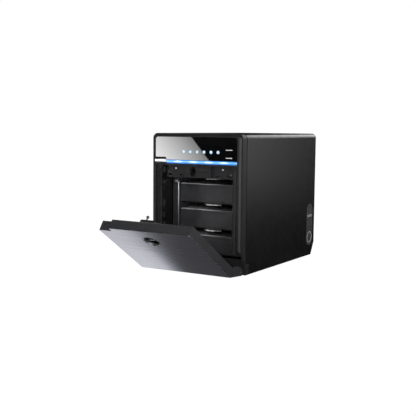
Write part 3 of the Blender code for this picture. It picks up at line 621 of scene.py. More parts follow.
# floor tray: a shallow channel with a row of slots
TRAY_T, TRAY_Z0, TRAY_Z1 = 1.2, 0.3, 12.0
inner_x, floor_z = TRAY_X - TRAY_T, TRAY_Z0 + TRAY_T
tray = prism("floor_tray", [(-TRAY_X, TRAY_Z0), (TRAY_X, TRAY_Z0), (TRAY_X, TRAY_Z1),
                            (inner_x, TRAY_Z1), (inner_x, floor_z), (-inner_x, floor_z),
                            (-inner_x, TRAY_Z1), (-TRAY_X, TRAY_Z1)],
             'xz', *span("base_tray")[2:4])
cut(tray, solid("tool", [(rounded(-30, 30, 52 + 14 * k, 57 + 14 * k, 2.4, 6), 'xd', -1, 3)
                         for k in range(5, 9)]))
finish(tray, CAGE_SHEET, "base_tray", (0.25, 2))

# rear panel, its foot sloping like the cover's, with its openings
REAR_T = 1.2
REAR_D = REAR.d1 - REAR_T
FAN_Z = FAN.mid_z
foot_d = REAR_D - (TAPER_H - 1.0) * (TAPER_D / TAPER_H)
through = (REAR_D - 3, REAR_D + 5)
rear = prism("rear_sheet", [(REAR_D, H - 3.0), (REAR_D, TAPER_H + 1.0), (foot_d, 2.0),
                            (foot_d + REAR_T * 1.15, 2.0), (REAR_D + REAR_T, TAPER_H + 0.6),
                            (REAR_D + REAR_T, H - 3.0)], 'dz', -TRAY_X, TRAY_X)
cut(rear, prism("tool", circle(0, FAN_Z, 37.5, 96), 'xz', *through))
cut(rear, boxes("tool", [(s.x0 - GAP, s.x1 + GAP, *through, s.z0 - GAP, s.z1 + GAP)
                         for s in (JACK, USB, ESATA)]))
cut(rear, solid("tool", [(rounded(*mirrored(side, 25, 45), 148 + 2.6 * k, 149.2 + 2.6 * k,
                                  0.55, 4), 'xz', *through)
                         for k in range(6) for side in (-1, 1)]))
for side in (-1, 1):             # upper corners
    cut(rear, prism("tool", [(side * (TRAY_X + 2), H + 1), (side * (TRAY_X + 2), H - 7.5),
                             (side * TRAY_X, H - 7.5), (side * (TRAY_X - 4.5), H - 3.0),
                             (side * (TRAY_X - 4.5), H + 1)], 'xz', *through))
finish(rear, CAGE_SHEET, "rear_panel", (0.2, 2))

# ================================================================ bezel
RIM_STEPS = 16
BAND_LOW = CHIN_Z + 1.5          # lower end of the sleeve and of the dark seam strip
LUG_R, PIN_HOLE_R = 3.8, 1.56
# (depth, height) of the space cleared below and in front of the lower edge
CHIN_CUT = [(-6, 31.5), (0.0, 31.5), (0.6, 29.3), (2.0, 27.2), (4.6, 24.1), (8.2, 18.6),
            (11.5, 12.9), (12.9, 6.0), (13.4, -2.0), (-6, -2.0)]

loops = []
for k in range(RIM_STEPS + 1):   # quarter round from the front plane out to the side walls
    a = math.radians(90.0 * k / RIM_STEPS)
    inset, depth = RIM_R * (1 - math.sin(a)), RIM_R * (1 - math.cos(a))
    r = CORNER_R - inset
    outline = rounded(-W / 2 + inset, W / 2 - inset, inset * 0.4, H - inset, (1.0, 1.0, r, r), 14)
    loops.append([(x, depth, z) for x, z in outline])
outline = rounded(-W / 2, W / 2, 0, H, (1.0, 1.0, CORNER_R, CORNER_R), 14)
loops.append([(x, BEZEL_D, z) for x, z in outline])
bezel = loft("bezel_frame", loops)
join(bezel, box("tool", -W / 2, W / 2, BEZEL_D - 1, CHIN_D, 0, CHIN_Z))
cut(bezel, box("tool", -OPEN_X, OPEN_X, -3, 3.0, SILL_Z, OPEN_TOP))
cut(bezel, prism("tool", rounded(-LIP_X, LIP_X, SILL_Z, OPEN_TOP, (0, 0, 3, 3)), 'xz', -3, 20))
cut(bezel, box("tool", -W / 2 + 2.0, W / 2 - 2.0, 5.2, 20, SILL_Z, H - 2.5))
# seats of the control strip, the light strip and the power key
cut(bezel, prism("tool", rounded(PANEL.x0 - GAP, PANEL.x1 + GAP, PANEL.z0 - 0.25, PANEL.z1 + GAP,
                                 (0, 0, 3.8, 3.8)), 'xz', -3, 2.4))
cut(bezel, box("tool", BAR.x0 - 0.2, BAR.x1 + GAP, -3, 3.3, BAR.z0 - 0.2, PANEL.z0))
cut(bezel, prism("tool", rounded(KEY.x0 - GAP, KEY.x1 + GAP, KEY.z0 - GAP, KEY.z1 + GAP,
                                 4.0, 12), 'xz', -3, 9))
# inner sleeve that bridges the seam under the cover, so nothing shows through it
join(bezel, prism("tool", band(1.95, 2.9, BAND_LOW), 'xz', BEZEL_D - 2.0, SEAM + 2.5))
for side in (-1, 1):             # shallow V along each lip, its long flank on the inner side
    groove = [(side * x, d) for x, d in ((51.6, 2.4), (51.6, 3.0), (54.2, 4.0),
                                         (54.5, 3.0), (54.5, 2.4))]
    cut(bezel, prism("tool", groove, 'xd', SILL_Z + 2.0, OPEN_TOP - 5.0))
cut(bezel, prism("tool", CHIN_CUT, 'dz', *FULL))
lug = [(14.5, 1.0), (14.5, 9.5)] + arc(PIVOT_D, PIVOT_Z, LUG_R, 80, 280, 24)
pin_hole = circle(PIVOT_D, PIVOT_Z, PIN_HOLE_R, 32)
for side in (-1, 1):             # hinge lugs
    join(bezel, prism("tool", lug, 'dz', *mirrored(side, 55.0, 59.0)))
for side in (-1, 1):
    cut(bezel, prism("tool", pin_hole, 'dz', *mirrored(side, 53.0, 62.0)))
finish(bezel, MOULDING, "front_bezel", (0.3, 3, 42), 30)

# dark strip in the seam: painted shade
seam_shade_strip = prism("seam_painted_shade_strip", band(0.12, 1.85, BAND_LOW), 'xz', BEZEL_D + 0.08, SEAM - 0.08)
finish(seam_shade_strip, SEAM_SHADE, bevel=(0.05, 1, 60))
for side in ("left", "right"):
    s = span("hinge_pin_" + side)
    r = (s.d1 - s.d0) / 2
    pin = lathe("pin_" + side, [(r - 0.3, s.x0), (r, s.x0 + 0.3), (r, s.x1 - 0.3),
                                (r - 0.3, s.x1)], 'dz', PIVOT_D, PIVOT_Z, 32)
    finish(pin, ZINC, "hinge_pin_" + side)

# ================================================================ front controls
# control strip: two rounded upper corners and a step up at the lower left
UPPER_R, STEP_R = 3.5, 2.0
STEP_X, STEP_Z = PANEL.x0 + 13.6, PANEL.z0 + 1.1
top_z = PANEL.z1 - UPPER_R
outline = ([(STEP_X + STEP_R, PANEL.z0), (PANEL.x1, PANEL.z0)]
           + arc(PANEL.x1 - UPPER_R, top_z, UPPER_R, 0, 90, 12)
           + arc(PANEL.x0 + UPPER_R, top_z, UPPER_R, 90, 180, 12)
           + [(PANEL.x0, STEP_Z + STEP_R)] + arc(STEP_X, STEP_Z, STEP_R, 90, 0, 8))
strip = prism("control_strip", outline, 'xz', PANEL.d0, PANEL.d1)
cut(strip, solid("tool", [(circle(s.mid_x, s.mid_z, s.radius + 0.2, 40), 'xz', -1, 4)
                          for s in LEDS]))
finish(strip, ACRYLIC, "control_panel", (0.18, 2))
for k, s in enumerate(LEDS, 1):
    r = s.radius
    led = lathe(f"indicator_{k}", [(r, s.d1), (r, s.d0 + 0.35), (r * 0.94, s.d0 + 0.16),
                                   (r * 0.75, s.d0 + 0.05), (r * 0.35, s.d0)],
                'xz', s.mid_x, s.mid_z, 32)
    finish(led, LENS, f"status_led_{k}")

BAR_R = 0.9                      # its two front edges
outline = ([(BAR.d1, BAR.z0), (BAR.d1, BAR.z1)]
           + arc(BAR.d0 + BAR_R, BAR.z1 - BAR_R, BAR_R, 90, 180, 6)
           + arc(BAR.d0 + BAR_R, BAR.z0 + BAR_R, BAR_R, 180, 270, 6))
finish(prism("light_strip", outline, 'dz', BAR.x0, BAR.x1), LIGHT_GUIDE,
       "light_bar", (0.2, 2))

# power key; stations are (depth, inset from its outline)
KEY_R = 3.8
loops = []
for depth, inset in ((KEY.d1, 0.0), (KEY.d0 + 1.3, 0.0), (KEY.d0 + 0.7, 0.12),
                     (KEY.d0 + 0.3, 0.45), (KEY.d0 + 0.08, 1.0), (KEY.d0, 1.8)):
    outline = rounded(KEY.x0 + inset, KEY.x1 - inset, KEY.z0 + inset, KEY.z1 - inset,
                      KEY_R - inset - 0.01, 14)
    loops.append([(x, depth, z) for x, z in outline])
finish(loft("power_key", loops), KEY_PALE, "power_button", smooth=50, body="power_key")

s = span("control_board")
card = box("control_card", *s)
cut(card, prism("tool", circle(s.x0 + 3, s.z0 + 3, 1.4, 24), 'xz', 0, 20))
finish(card, BOARD, "control_board", (0.3, 2))

# catch: a cross plate over the whole width with a raised block round the stud's hole
PLATE_D = CATCH.d1 - 1.2         # front of the plate
catch = prism("catch_plate", rounded(CATCH.x0, CATCH.x1, CATCH.z0, CATCH.z1, (1.5, 1.5, 1, 1)),
              'xz', PLATE_D, CATCH.d1)
join(catch, prism("tool", rounded(-17.0, 19.0, CATCH.z0 + 1.0, CATCH.z1, (2, 2, 1, 1)),
                  'xz', CATCH.d0, CATCH.d1 - 0.7))
cut(catch, prism("tool", rounded(STUD_X - 4.0, STUD_X + 4.0, 115.5, 126.5, 3.5, 10), 'xz', 2, 12))
cut(catch, boxes("tool", [(-13.5, 15.5, 2, CATCH.d0 + 1.2, 127.4, 128.6),
                          (0.5, 15.5, 2, CATCH.d0 + 0.8, 120.6, 121.6)]))
cut(catch, solid("tool", [(rounded(x - 3.0, x + 3.0, 115.8, 117.6, 0.8, 4), 'xz', 2, 14)
                          for x in (-42.0, -25.0, 27.0, 43.0)]))
finish(catch, MOULDING, "latch_catch", (0.3, 2))

# screws on the catch: x, z, head radius; the first two are painted near-white as a highlight
PLATE_SCREWS = ((-33.5, 124.5, 1.05), (33.5, 124.5, 1.05), (-14.2, 131.0, 0.8),
                (16.2, 131.0, 0.8), (44.8, 118.5, 0.9), (-44.0, 120.5, 0.9))
for k, (x, z, r) in enumerate(PLATE_SCREWS):
    face = PLATE_D if abs(x) > 17.5 else CATCH.d0
    screw = lathe(f"plate_screw_{k + 1}", [(r, face), (r, face - 0.35), (r * 0.85, face - 0.6),
                                           (r * 0.45, face - 0.72)], 'xz', x, z, 24)
    cut(screw, box("tool", x - r * 0.6, x + r * 0.6, face - 1.2, face - 0.45, z - 0.18, z + 0.18))
    finish(screw, SCREW_PAINTED_GLINT if k < 2 else ZINC)

# ================================================================ door, drawn shut
FACE_T = SKIN.d1 - SKIN.d0
DOOR_X, DOOR_D = SKIN.x1, SKIN.d0
DOOR_Z0, DOOR_Z1 = SKIN.z0, SKIN.z1
INNER_D = LINER.d1 + 0.3         # inner face of the door
KNUCKLE_R = 4.5
NOTCH_X, NOTCH_Z = -45.0, 124.0  # notch in the upper left corner
LINER_STEP_X = -42.2
SEAT_D, CHIN_TOP = DOOR_D + FACE_T + 0.2, DOOR_Z0 - 0.3
FINGER_Z = FINGER.mid_z

# the front of the chin runs from the face down to its tangent point on the knuckle
reach = math.hypot(PIVOT_D - DOOR_D, PIVOT_Z - CHIN_TOP)
tangent_angle = (math.degrees(math.atan2(PIVOT_Z - CHIN_TOP, PIVOT_D - DOOR_D))
                 - math.degrees(math.asin(KNUCKLE_R / reach)))
tangent_len = math.sqrt(reach * reach - KNUCKLE_R ** 2)
tangent_d = DOOR_D + tangent_len * math.cos(math.radians(tangent_angle))
tangent_z = CHIN_TOP + tangent_len * math.sin(math.radians(tangent_angle))
knuckle_start = math.degrees(math.atan2(tangent_z - PIVOT_Z, tangent_d - PIVOT_D))
outline = ([(SEAT_D, CHIN_TOP), (DOOR_D, CHIN_TOP)]
           + arc(PIVOT_D, PIVOT_Z, KNUCKLE_R, knuckle_start, 20.0, 30)
           + [(7.0, 15.2), (INNER_D, 27.0), (INNER_D, DOOR_Z1 - 0.8), (INNER_D - 0.8, DOOR_Z1),
              (SEAT_D, DOOR_Z1)])
door = prism("door_shell", outline, 'dz', -DOOR_X, DOOR_X, True)
# hollow of the door, lower beside the notch: x0, x1, top
slope = (tangent_d - DOOR_D) / (CHIN_TOP - tangent_z)
hollow_d = DOOR_D + 1.9 + (CHIN_TOP + 1.1 - 11.0) * slope
for x0, x1, top in ((-42.6, 59.3, DOOR_Z1 - 2.6), (-59.3, -41.8, NOTCH_Z - 2.2)):
    cut(door, prism("tool", [(-10.0, top), (-10.0, 27.4), (hollow_d, 11.0), (14.0, 11.0),
                             (14.0, top)], 'dz', x0, x1, True))
cut(door, box("tool", -59.3, 59.3, -20, 14, -5, 10.0, True))
notch = box("tool", -80, NOTCH_X, -20, 14, NOTCH_Z, DOOR_Z1 + 6, True)
cut(door, notch)
cut(door, prism("tool", pin_hole, 'dz', -80, 80, True))
finger_hole = prism("tool", circle(0, FINGER_Z, 10.8, 72), 'xz', -20, -6, True)
cut(door, finger_hole)

skin = prism("door_face", rounded(-DOOR_X, DOOR_X, DOOR_Z0, DOOR_Z1, 0.8, 5),
             'xz', DOOR_D, DOOR_D + FACE_T, True)
cut(skin, notch)
cut(skin, finger_hole)

liner = prism("door_inner_cover", [(LINER.x0, LINER.z0), (LINER.x1, LINER.z0),
                                   (LINER.x1, LINER.z1), (LINER_STEP_X, LINER.z1),
                                   (LINER_STEP_X, NOTCH_Z - 2.5), (LINER.x0, NOTCH_Z - 2.5)],
              'xz', LINER.d0, LINER.d1, True)
stud_slot = box("tool", STUD_X - 1.4, STUD_X + 1.4, -4, 8, 116.0, 122.2, True)
cut(liner, stud_slot)
cut(liner, solid("tool", [(rounded(-50 + 20 * k, -40 + 20 * k, 40, 96, 1.5, 5),
                           'xz', LINER.d1 - 0.6, 1) for k in range(6)], True))

housing = prism("latch_cover", [(HOUSING.x0, HOUSING.z0), (HOUSING.x1, HOUSING.z0),
                                (HOUSING.x1, HOUSING.z1 - 2), (HOUSING.x1 - 2, HOUSING.z1),
                                (HOUSING.x0 + 2, HOUSING.z1), (HOUSING.x0, HOUSING.z1 - 2)],
                'xz', HOUSING.d0, HOUSING.d1, True)
cut(housing, stud_slot)
finish(door, DOOR_MOULDING, "door_frame", (0.35, 3, 45), 30, body="door")
finish(skin, BRUSHED, "door_skin", (0.22, 2), body="door")
finish(liner, DOOR_MOULDING, "door_liner", (0.15, 2), body="door")
finish(housing, MOULDING, "latch_housing", (0.8, 3), body="door")

front = FINGER.d0
ring = lathe("finger_bezel", [(10.5, front + 0.2), (10.5, FINGER.d1), (9.5, FINGER.d1),
                              (9.5, front + 0.45), (9.62, front + 0.15), (9.9, front),
                              (10.25, front)], 'xz', 0, FINGER_Z, 96, True, ring=True)
finish(ring, PORT_PLATE, "finger_ring", smooth=50, body="door")

# latch slide, its lever bar in the finger hole, and the ball-ended stud
BALL_R, BALL_D = 1.8, 10.6
slide = box("latch_slider", -7.5, 7.5, -7.6, -6.2, SLIDE.z0, 123.5, True)
join(slide, prism("tool", [(-9.4, 101.9), (-9.1, 101.6), (-7.0, 101.6), (-7.0, 105.0),
                           (-9.1, 105.0), (-9.4, 104.7)], 'dz', -7.0, 7.0, True))
profile = [(0.9, -6.8), (0.9, 6.4), (1.25, 6.6), (1.25, 7.2), (0.85, 7.4), (0.85, 9.1)]
profile += [(BALL_R * math.cos(math.radians(a)), BALL_D + BALL_R * math.sin(math.radians(a)))
            for a in range(-55, 86, 14)]
join(slide, lathe("tool", profile, 'xz', STUD_X, 119.6, 32, True))
finish(slide, LATCH_STEEL, "door_latch", (0.18, 2, 50), 40, body="door_latch_slide")

# ================================================================ cage
CAGE_X = 51.4                    # inner half width
cage = box("bay_cage", -CAGE_X - 1.2, CAGE_X + 1.2, CAGE.d0 + 0.2, CAGE.d1, CAGE.z0, 140.7)
join(cage, box("tool", CAGE.x0, CAGE.x1, CAGE.d0, CAGE.d0 + 1.2, 13.2, CAGE.z1))
cut(cage, box("tool", -CAGE_X, CAGE_X, 20, 210, 10.7, 139.5))
# a ledge under each side of each drive, and three windows in the wall beside it
ledges, windows = [], []
for s in DRIVES:
    for side in (-1, 1):
        ledges.append((*mirrored(side, 47.6, CAGE_X + 0.6), CAGE.d0 + 3.2, CAGE.d1 - 2,
                       s.z0 - 1.4, s.z0 - GAP))
        for d0 in (64, 102, 140):
            windows.append((rounded(d0, d0 + 26, s.z0 + 5, s.z0 + 20, 3, 5), 'dz',
                            *mirrored(side, CAGE_X - 0.3, CAGE_X + 6)))
join(cage, boxes("tool", ledges))
cut(cage, solid("tool", windows))
finish(cage, CAGE_SHEET, "drive_cage", (0.3, 2))

for side, name in ((-1, "left"), (1, "right")):  # rolled front edge beside the drives
    edge = prism("cage_rolled_edge_" + name,
                 circle(side * (CAGE_X + 0.5), CAGE.d0 - 0.85, 0.8, 18), 'xd',
                 CAGE.z0 + 5.0, DRIVES[2].z1 + 1.0)
    finish(edge, ROLLED_EDGE, bevel=(0.1, 1, 60))

# clips along the inner side of the left lip: z0, z1, width
CLIPS = ((118.0, 127.0, 3.6), (104.5, 109.5, 4.8), (97.0, 102.0, 2.6),
         (76.0, 86.0, 3.2), (62.0, 70.0, 2.4), (46.0, 58.0, 3.6))
for k, (z0, z1, width) in enumerate(CLIPS, 1):
    clip = prism(f"lip_clip_{k}", [(-LIP_X - 0.6, z0), (-LIP_X + width * 0.6, z0 + 0.8),
                                   (-LIP_X + width, z0 + 2.2), (-LIP_X + width, z1 - 1.6),
                                   (-LIP_X + width * 0.5, z1), (-LIP_X - 0.6, z1)], 'xz', 5.4, 8.6)
    finish(clip, MOULDING, bevel=(0.3, 2))


# ================================================================ drives
def disk(k, s):
    x, z, f = s.x1, s.z0, s.d0
    right_side = [(x - 0.5, z), (x, z + 0.5), (x, z + 21.6), (x - 1.0, z + 22.4),
                  (x - 1.0, s.z1 - 0.7), (x - 1.7, s.z1)]
    left_side = [(-px, pz) for px, pz in right_side[::-1]]
    # start at the lowest point of the left wall
    body = prism(f"disk_{k}", left_side[-2:] + right_side + left_side[:-2], 'xz', f, s.d1)
    cut(body, boxes("tool", [(-42, 42, f + 12, f + 96, z - 2, z + 1.6),
                             (-47, 47, f - 2, f + 7, z - 2, z + 2.3),
                             (-16, 30, s.d1 - 5, s.d1 + 2, z + 3.0, z + 9.0)]))
    # two grooves across the front end, and a round recess at each side
    cut(body, boxes("tool", [(-x - 2, x + 2, f - 1, f + 0.5, z + 21.5, z + 22.1),
                             (-x - 2, x + 2, f - 1, f + 0.3, z + 6.4, z + 6.8)]))
    cut(body, solid("tool", [(circle(side * (x - 4.2), z + 13.5, 1.3, 24), 'xz', f - 1, f + 0.5)
                             for side in (-1, 1)]))
    finish(body, CASTING, f"drive_{k}", (0.3, 2), body=f"drive_unit_{k}")


def pull_tab(k, s, handle):
    f, z = s.d0, s.z0
    outline = [(f - 1.3, z + 5.0), (f - 1.3, z + 2.0), (f - 7.6, z + 0.6), (f - 8.2, z + 1.6),
               (f - 8.4, z + 0.2), (f - 7.4, z - 0.6), (f - 0.3, z + 0.8), (f - 0.3, z + 5.0)]
    tab = prism(f"pull_tab_{k}", outline, 'dz', handle.x0, handle.x1)
    # notches in the front edge: x0, x1, distance of the back of the notch from the drive
    notch_sets = [[(-16, -6.5, 4.5), (8.5, 18, 4.5)]]
    if k == 3:
        notch_sets.append([(1.5, handle.x1 + 1, 5.9)])
    if k in (1, 2):
        notch_sets.append([(4.5, handle.x1 + 1, 4.6), (-2.4, 0.2, 6.2)])
    for notches in notch_sets:
        cut(tab, boxes("tool", [(x0, x1, f - 12, f - back, z - 3, z + 4)
                                for x0, x1, back in notches]))
    finish(tab, TAB_PLATE, f"drive_handle_{k}", (0.15, 2), body=f"drive_unit_{k}")


def plug_block(k, z):
    s = span(f"sata_connector_{k}")
    plug = box(f"plug_block_{k}", *s)
    cut(plug, boxes("tool", [(x0, x1, s.d0 - 2, s.d1 - 1, z + 4.4, z + 5.8)
                             for x0, x1 in ((-13, 7), (10, 27))]))
    finish(plug, DARK_PLASTIC, f"sata_connector_{k}", (0.2, 2))


for k, (s, handle) in enumerate(zip(DRIVES, HANDLES), 1):
    disk(k, s)
    pull_tab(k, s, handle)
    plug_block(k, s.z0)

back, bridge = span("backplane_board"), span("bridge_board")
card = box("backplane_card", *back)
cut(card, boxes("tool", [(-40, 40, back.d0 - 3, back.d1 + 3, s.z0 - 4.2, s.z0 - 1.0)
                         for s in DRIVES[1:]]))
finish(card, BOARD, "backplane_board", (0.15, 1))
card = box("bridge_card", *bridge)
cut(card, boxes("tool", [(30, 60, 50, 84, 140, 152), (-60, -38, 170, 200, 140, 152)]))
finish(card, BOARD, "bridge_board", (0.15, 1))


# ================================================================ fan and guard
DIAGONALS = [math.radians(45 + 90 * k) for k in range(4)]


def spoke(angle, inner, outer, half):
    ca, sa = math.cos(angle), math.sin(angle)
    return [(r * ca - side * half * sa, FAN_Z + r * sa + side * half * ca)
            for r, side in ((inner, -1), (outer, -1), (outer, 1), (inner, 1))]


fan = prism("fan_housing", rounded(FAN.x0, FAN.x1, FAN.z0, FAN.z1, 4), 'xz', FAN.d0, FAN.d1)
cut(fan, prism("tool", circle(0, FAN_Z, 38.0, 96), 'xz', 190, 215))
for angle in DIAGONALS:
    join(fan, prism("tool", spoke(angle, 5, 39, 1.6), 'xz', FAN.d0, FAN.d0 + 1.8))
join(fan, prism("tool", circle(0, FAN_Z, 14.0, 64), 'xz', FAN.d0, FAN.d0 + 2.0))
finish(fan, DARK_PLASTIC, "fan_frame", (0.3, 2))

BLADES, BLADE_STEPS, BLADE_R0, BLADE_R1 = 7, 10, 11.5, 36.4
# blade section: (across the chord, through the thickness), both as multiples of the half size
BLADE = ((-1, -1), (-0.3, -1.2), (0.3, -1.2), (1, -1), (1, 1), (0.3, 0.8), (-0.3, 0.8), (-1, 1))
front, back = ROTOR.d0, ROTOR.d1
rotor = lathe("fan_impeller", [(12.4, front + 0.2), (13.0, front + 0.8), (13.0, back - 1.0),
                               (12.7, back - 0.4), (12.0, back)], 'xz', 0, FAN_Z, 64)
for k in range(BLADES):
    loops = []
    for j in range(BLADE_STEPS + 1):
        r = BLADE_R0 + (BLADE_R1 - BLADE_R0) * j / BLADE_STEPS
        twist = 0.62 - 0.02 * j
        row = []
        for chord, thick in BLADE:
            angle = (2 * math.pi * k / BLADES + 0.052 * j + chord * 0.34 * twist
                     + thick * 0.55 / r)
            row.append((r * math.cos(angle), ROTOR.mid_d + chord * 2.5,
                        FAN_Z + r * math.sin(angle)))
        loops.append(row)
    join(rotor, loft("tool", loops))
finish(rotor, DARK_PLASTIC, "fan_rotor", smooth=40, body="fan_wheel")


def guard_ring(name, radius):
    half_d = (GUARD.d1 - GUARD.d0) / 2
    angles = [math.radians(a) for a in range(0, 360, 30)]
    profile = [(radius + 0.75 * math.cos(a), GUARD.mid_d + half_d * math.sin(a)) for a in angles]
    return lathe(name, profile, 'xz', 0, FAN_Z, 96, ring=True)


guard = guard_ring("fan_guard", 37.7)
for r in (28.2, 20.2, 12.2):
    join(guard, guard_ring("tool", r))
for k, angle in enumerate(DIAGONALS, 1):    # a spoke, its screw eye and the screw
    join(guard, prism("tool", spoke(angle, 11.0, 48.5, 0.9), 'xz', GUARD.d0 + 0.1, GUARD.d1 - 0.1))
    eye = circle(50.5 * math.cos(angle), FAN_Z + 50.5 * math.sin(angle), 4.0, 40)
    join(guard, prism("tool", eye, 'xz', GUARD.d0, GUARD.d1))
    s = span(f"fan_screw_{k}")
    r = s.radius
    screw = lathe(f"guard_screw_{k}", [(r, s.d0), (r, s.d0 + 0.25), (r * 0.9, s.d0 + 0.5),
                                       (r * 0.6, s.d1 - 0.05), (r * 0.3, s.d1)],
                  'xz', s.mid_x, s.mid_z, 32)
    cross_slot(screw, s, r * 0.55, 0.3, s.d1 - 0.35, s.d1 + 1)
    finish(screw, ZINC, f"fan_screw_{k}")
finish(guard, ZINC, "fan_grille", smooth=40)

# ================================================================ rear sockets
s = JACK
socket = box("power_socket", *s)
cut(socket, prism("tool", circle(s.mid_x, s.mid_z, 4.0, 40), 'xz', s.d0 + 3, 215))
join(socket, lathe("tool", [(1.2, s.d0 + 1.5), (1.2, s.d1 - 1.0), (0.8, s.d1 - 0.6)],
                   'xz', s.mid_x, s.mid_z, 24))
finish(socket, DARK_PLASTIC, "dc_jack", (0.3, 2))

s = USB                          # opening with both upper corners cut off, a tongue inside
socket = box("square_socket", *s)
cut(socket, prism("tool", [(s.x0 + 1.2, s.z0 + 1.2), (s.x1 - 1.2, s.z0 + 1.2),
                           (s.x1 - 1.2, s.z1 - 3.2), (s.x1 - 3.0, s.z1 - 1.2),
                           (s.x0 + 3.0, s.z1 - 1.2), (s.x0 + 1.2, s.z1 - 3.2)],
                  'xz', s.d0 + 2, 215))
join(socket, box("tool", s.x0 + 4, s.x1 - 4, s.d0 + 1.5, s.d1 - 0.8, s.z0 + 5.4, s.z0 + 9.2))
finish(socket, PORT_PLATE, "usb_port", (0.25, 2))

s = ESATA
socket = box("flat_socket", *s)
cut(socket, box("tool", s.x0 + 1.4, s.x1 - 1.4, s.d0 + 2, 215, s.z0 + 1.4, s.z1 - 1.4))
join(socket, box("tool", s.x0 + 3.5, s.x1 - 3.5, s.d0 + 1.5, s.d1 - 1.0, s.z0 + 4.2, s.z0 + 5.8))
finish(socket, PORT_PLATE, "esata_port", (0.25, 2))

# ================================================================ feet and cage screws
for k in range(1, 5):
    s = span(f"foot_{k}")
    r = s.radius
    foot = lathe(f"rubber_foot_{k}", [(r, s.z1), (r, s.z0 + 0.9), (r - 0.12, s.z0 + 0.45),
                                      (r - 0.4, s.z0 + 0.14), (r - 0.8, s.z0)],
                 'xd', s.mid_x, s.mid_d, 48)
    finish(foot, RUBBER, f"foot_{k}")
    s = span(f"cage_screw_{k}")
    r = s.radius
    screw = lathe(f"bay_screw_{k}", [(r, s.d1), (r, s.d1 - 0.5), (r * 0.85, s.d0 + 0.35),
                                     (r * 0.55, s.d0 + 0.08), (r * 0.3, s.d0)],
                  'xz', s.mid_x, s.mid_z, 32)
    cross_slot(screw, s, r * 0.5, 0.35, s.d0 - 1, s.d0 + 0.5)
    finish(screw, ZINC, f"cage_screw_{k}")

for tool in set(TOOLS):
    bpy.data.objects.remove(tool, do_unlink=True)

# ================================================================ camera
CAM_AT = world(495.2, -778.9, 174.36)
YAW, PITCH, ROLL = 0.54885, 0.10397, 0.00915     # radians: to the left, downwards, about the view
ahead = Vector((-math.sin(YAW), math.cos(YAW), 0))
level_right = Vector((math.cos(YAW), math.sin(YAW), 0))
up = Vector((0, 0, 1))
view = ahead * math.cos(PITCH) - up * math.sin(PITCH)
view_up = up * math.cos(PITCH) + ahead * math.sin(PITCH)
cam_x = level_right * math.cos(ROLL) + view_up * math.sin(ROLL)
cam_y = view_up * math.cos(ROLL) - level_right * math.sin(ROLL)
lens = bpy.data.cameras.new("camera")
camera = add_object("camera", lens)
pose = Matrix((cam_x, cam_y, -view)).transposed().to_4x4()
pose.translation = CAM_AT
camera.matrix_world = pose
lens.sensor_width = 36.0
lens.lens = 66.6
lens.clip_start, lens.clip_end = 0.05, 60
bpy.context.scene.camera = camera


# ================================================================ studio, in metres
def sheet(name, n, place, material, with_uv=False):
    """A grid of n by n faces through place(s, t), with s and t from 0 to 1."""
    bm = bmesh.new()
    grid = [[bm.verts.new(place(i / n, j / n)) for i in range(n + 1)] for j in range(n + 1)]
    uv = bm.loops.layers.uv.new("UVMap") if with_uv else None
    for j in range(n):
        for i in range(n):
            corners = ((i, j), (i + 1, j), (i + 1, j + 1), (i, j + 1))
            quad = bm.faces.new([grid[t][s] for s, t in corners])
            if with_uv:
                for loop, (s, t) in zip(quad.loops, corners):
                    loop[uv].uv = (s / n, t / n)
    obj = mesh_object(name, bm)
    obj.data.materials.append(material.data)
    return obj


def light_card(name, corners, start, end):
    """A glowing sheet whose strength runs from the first corner's side to the second's."""
    a, b, c, d = [Vector(p) for p in corners]
    mat = Material(name + "_light", "Emission")
    mat.put(mat.shader.inputs["Strength"], mat.between(mat.axis(0, "UV"), 0.0, 1.0, start, end))
    card = sheet(name, 8, lambda s, t: a.lerp(b, s).lerp(d.lerp(c, s), t), mat, with_uv=True)
    card.visible_camera = False


def mirror_ray(x, z):
    """The camera's ray to (x, z) on the control strip, as (point, direction) once mirrored."""
    point = world(x, PANEL.d0, z)
    ray = (point - CAM_AT).normalized()
    return point, Vector((ray.x, -ray.y, ray.z))


# key card at the front left: its right edge is what the glossy strip shows as a diagonal
CARD_DISTANCE, CARD_HALF_H = 1.6, 0.9
rays = [mirror_ray(-5.5, PANEL.z1), mirror_ray(19.5, PANEL.z0), mirror_ray(PANEL.x0, PANEL.mid_z)]
facing = (rays[0][1] + rays[1][1] + rays[2][1]).normalized()
card_point = rays[0][0] + facing * CARD_DISTANCE
edge_top, edge_low, far = [p + ray * ((card_point - p).dot(facing) / ray.dot(facing))
                           for p, ray in rays]
along = (edge_top - edge_low).normalized()
edge_mid = (edge_top + edge_low) / 2
outward = far - edge_mid
outward = outward - along * outward.dot(along)
width = outward.length * 1.25
outward.normalize()
rise = along * CARD_HALF_H
light_card("key_card", [edge_mid + rise, edge_mid + rise + outward * width,
                        edge_mid - rise + outward * width, edge_mid - rise], start=2.0, end=8.5)
# back softbox: the long top edge of the cover mirrors it
light_card("rim_box", [(-0.12, 2.6, 0.7), (1.15, 2.6, 0.40), (1.15, 2.5, 1.7), (-0.12, 2.5, 1.7)],
           start=4.4, end=3.3)
# upright cards: name, (x, y) of the two ends, height, strength at each end
UPRIGHTS = (
    ("side_box", (0.62, 1.15), (1.12, 0.80), 0.5, 0.4, 2.9),             # right and behind
    ("left_box", (-2.2, -0.35), (-1.5, 2.0), 1.5, 1.1, 1.8),             # left
    ("corner_box", (0.36, -0.52), (0.58, -0.20), 0.30, 3.8, 3.8),        # right and in front
    ("corner_box_front", (0.13, -0.86), (0.36, -0.52), 0.30, 4.6, 3.8),  # carries on forwards
)
for name, a, b, top, start, end in UPRIGHTS:
    light_card(name, [(*a, 0.0), (*b, 0.0), (*b, top), (*a, top)], start, end)


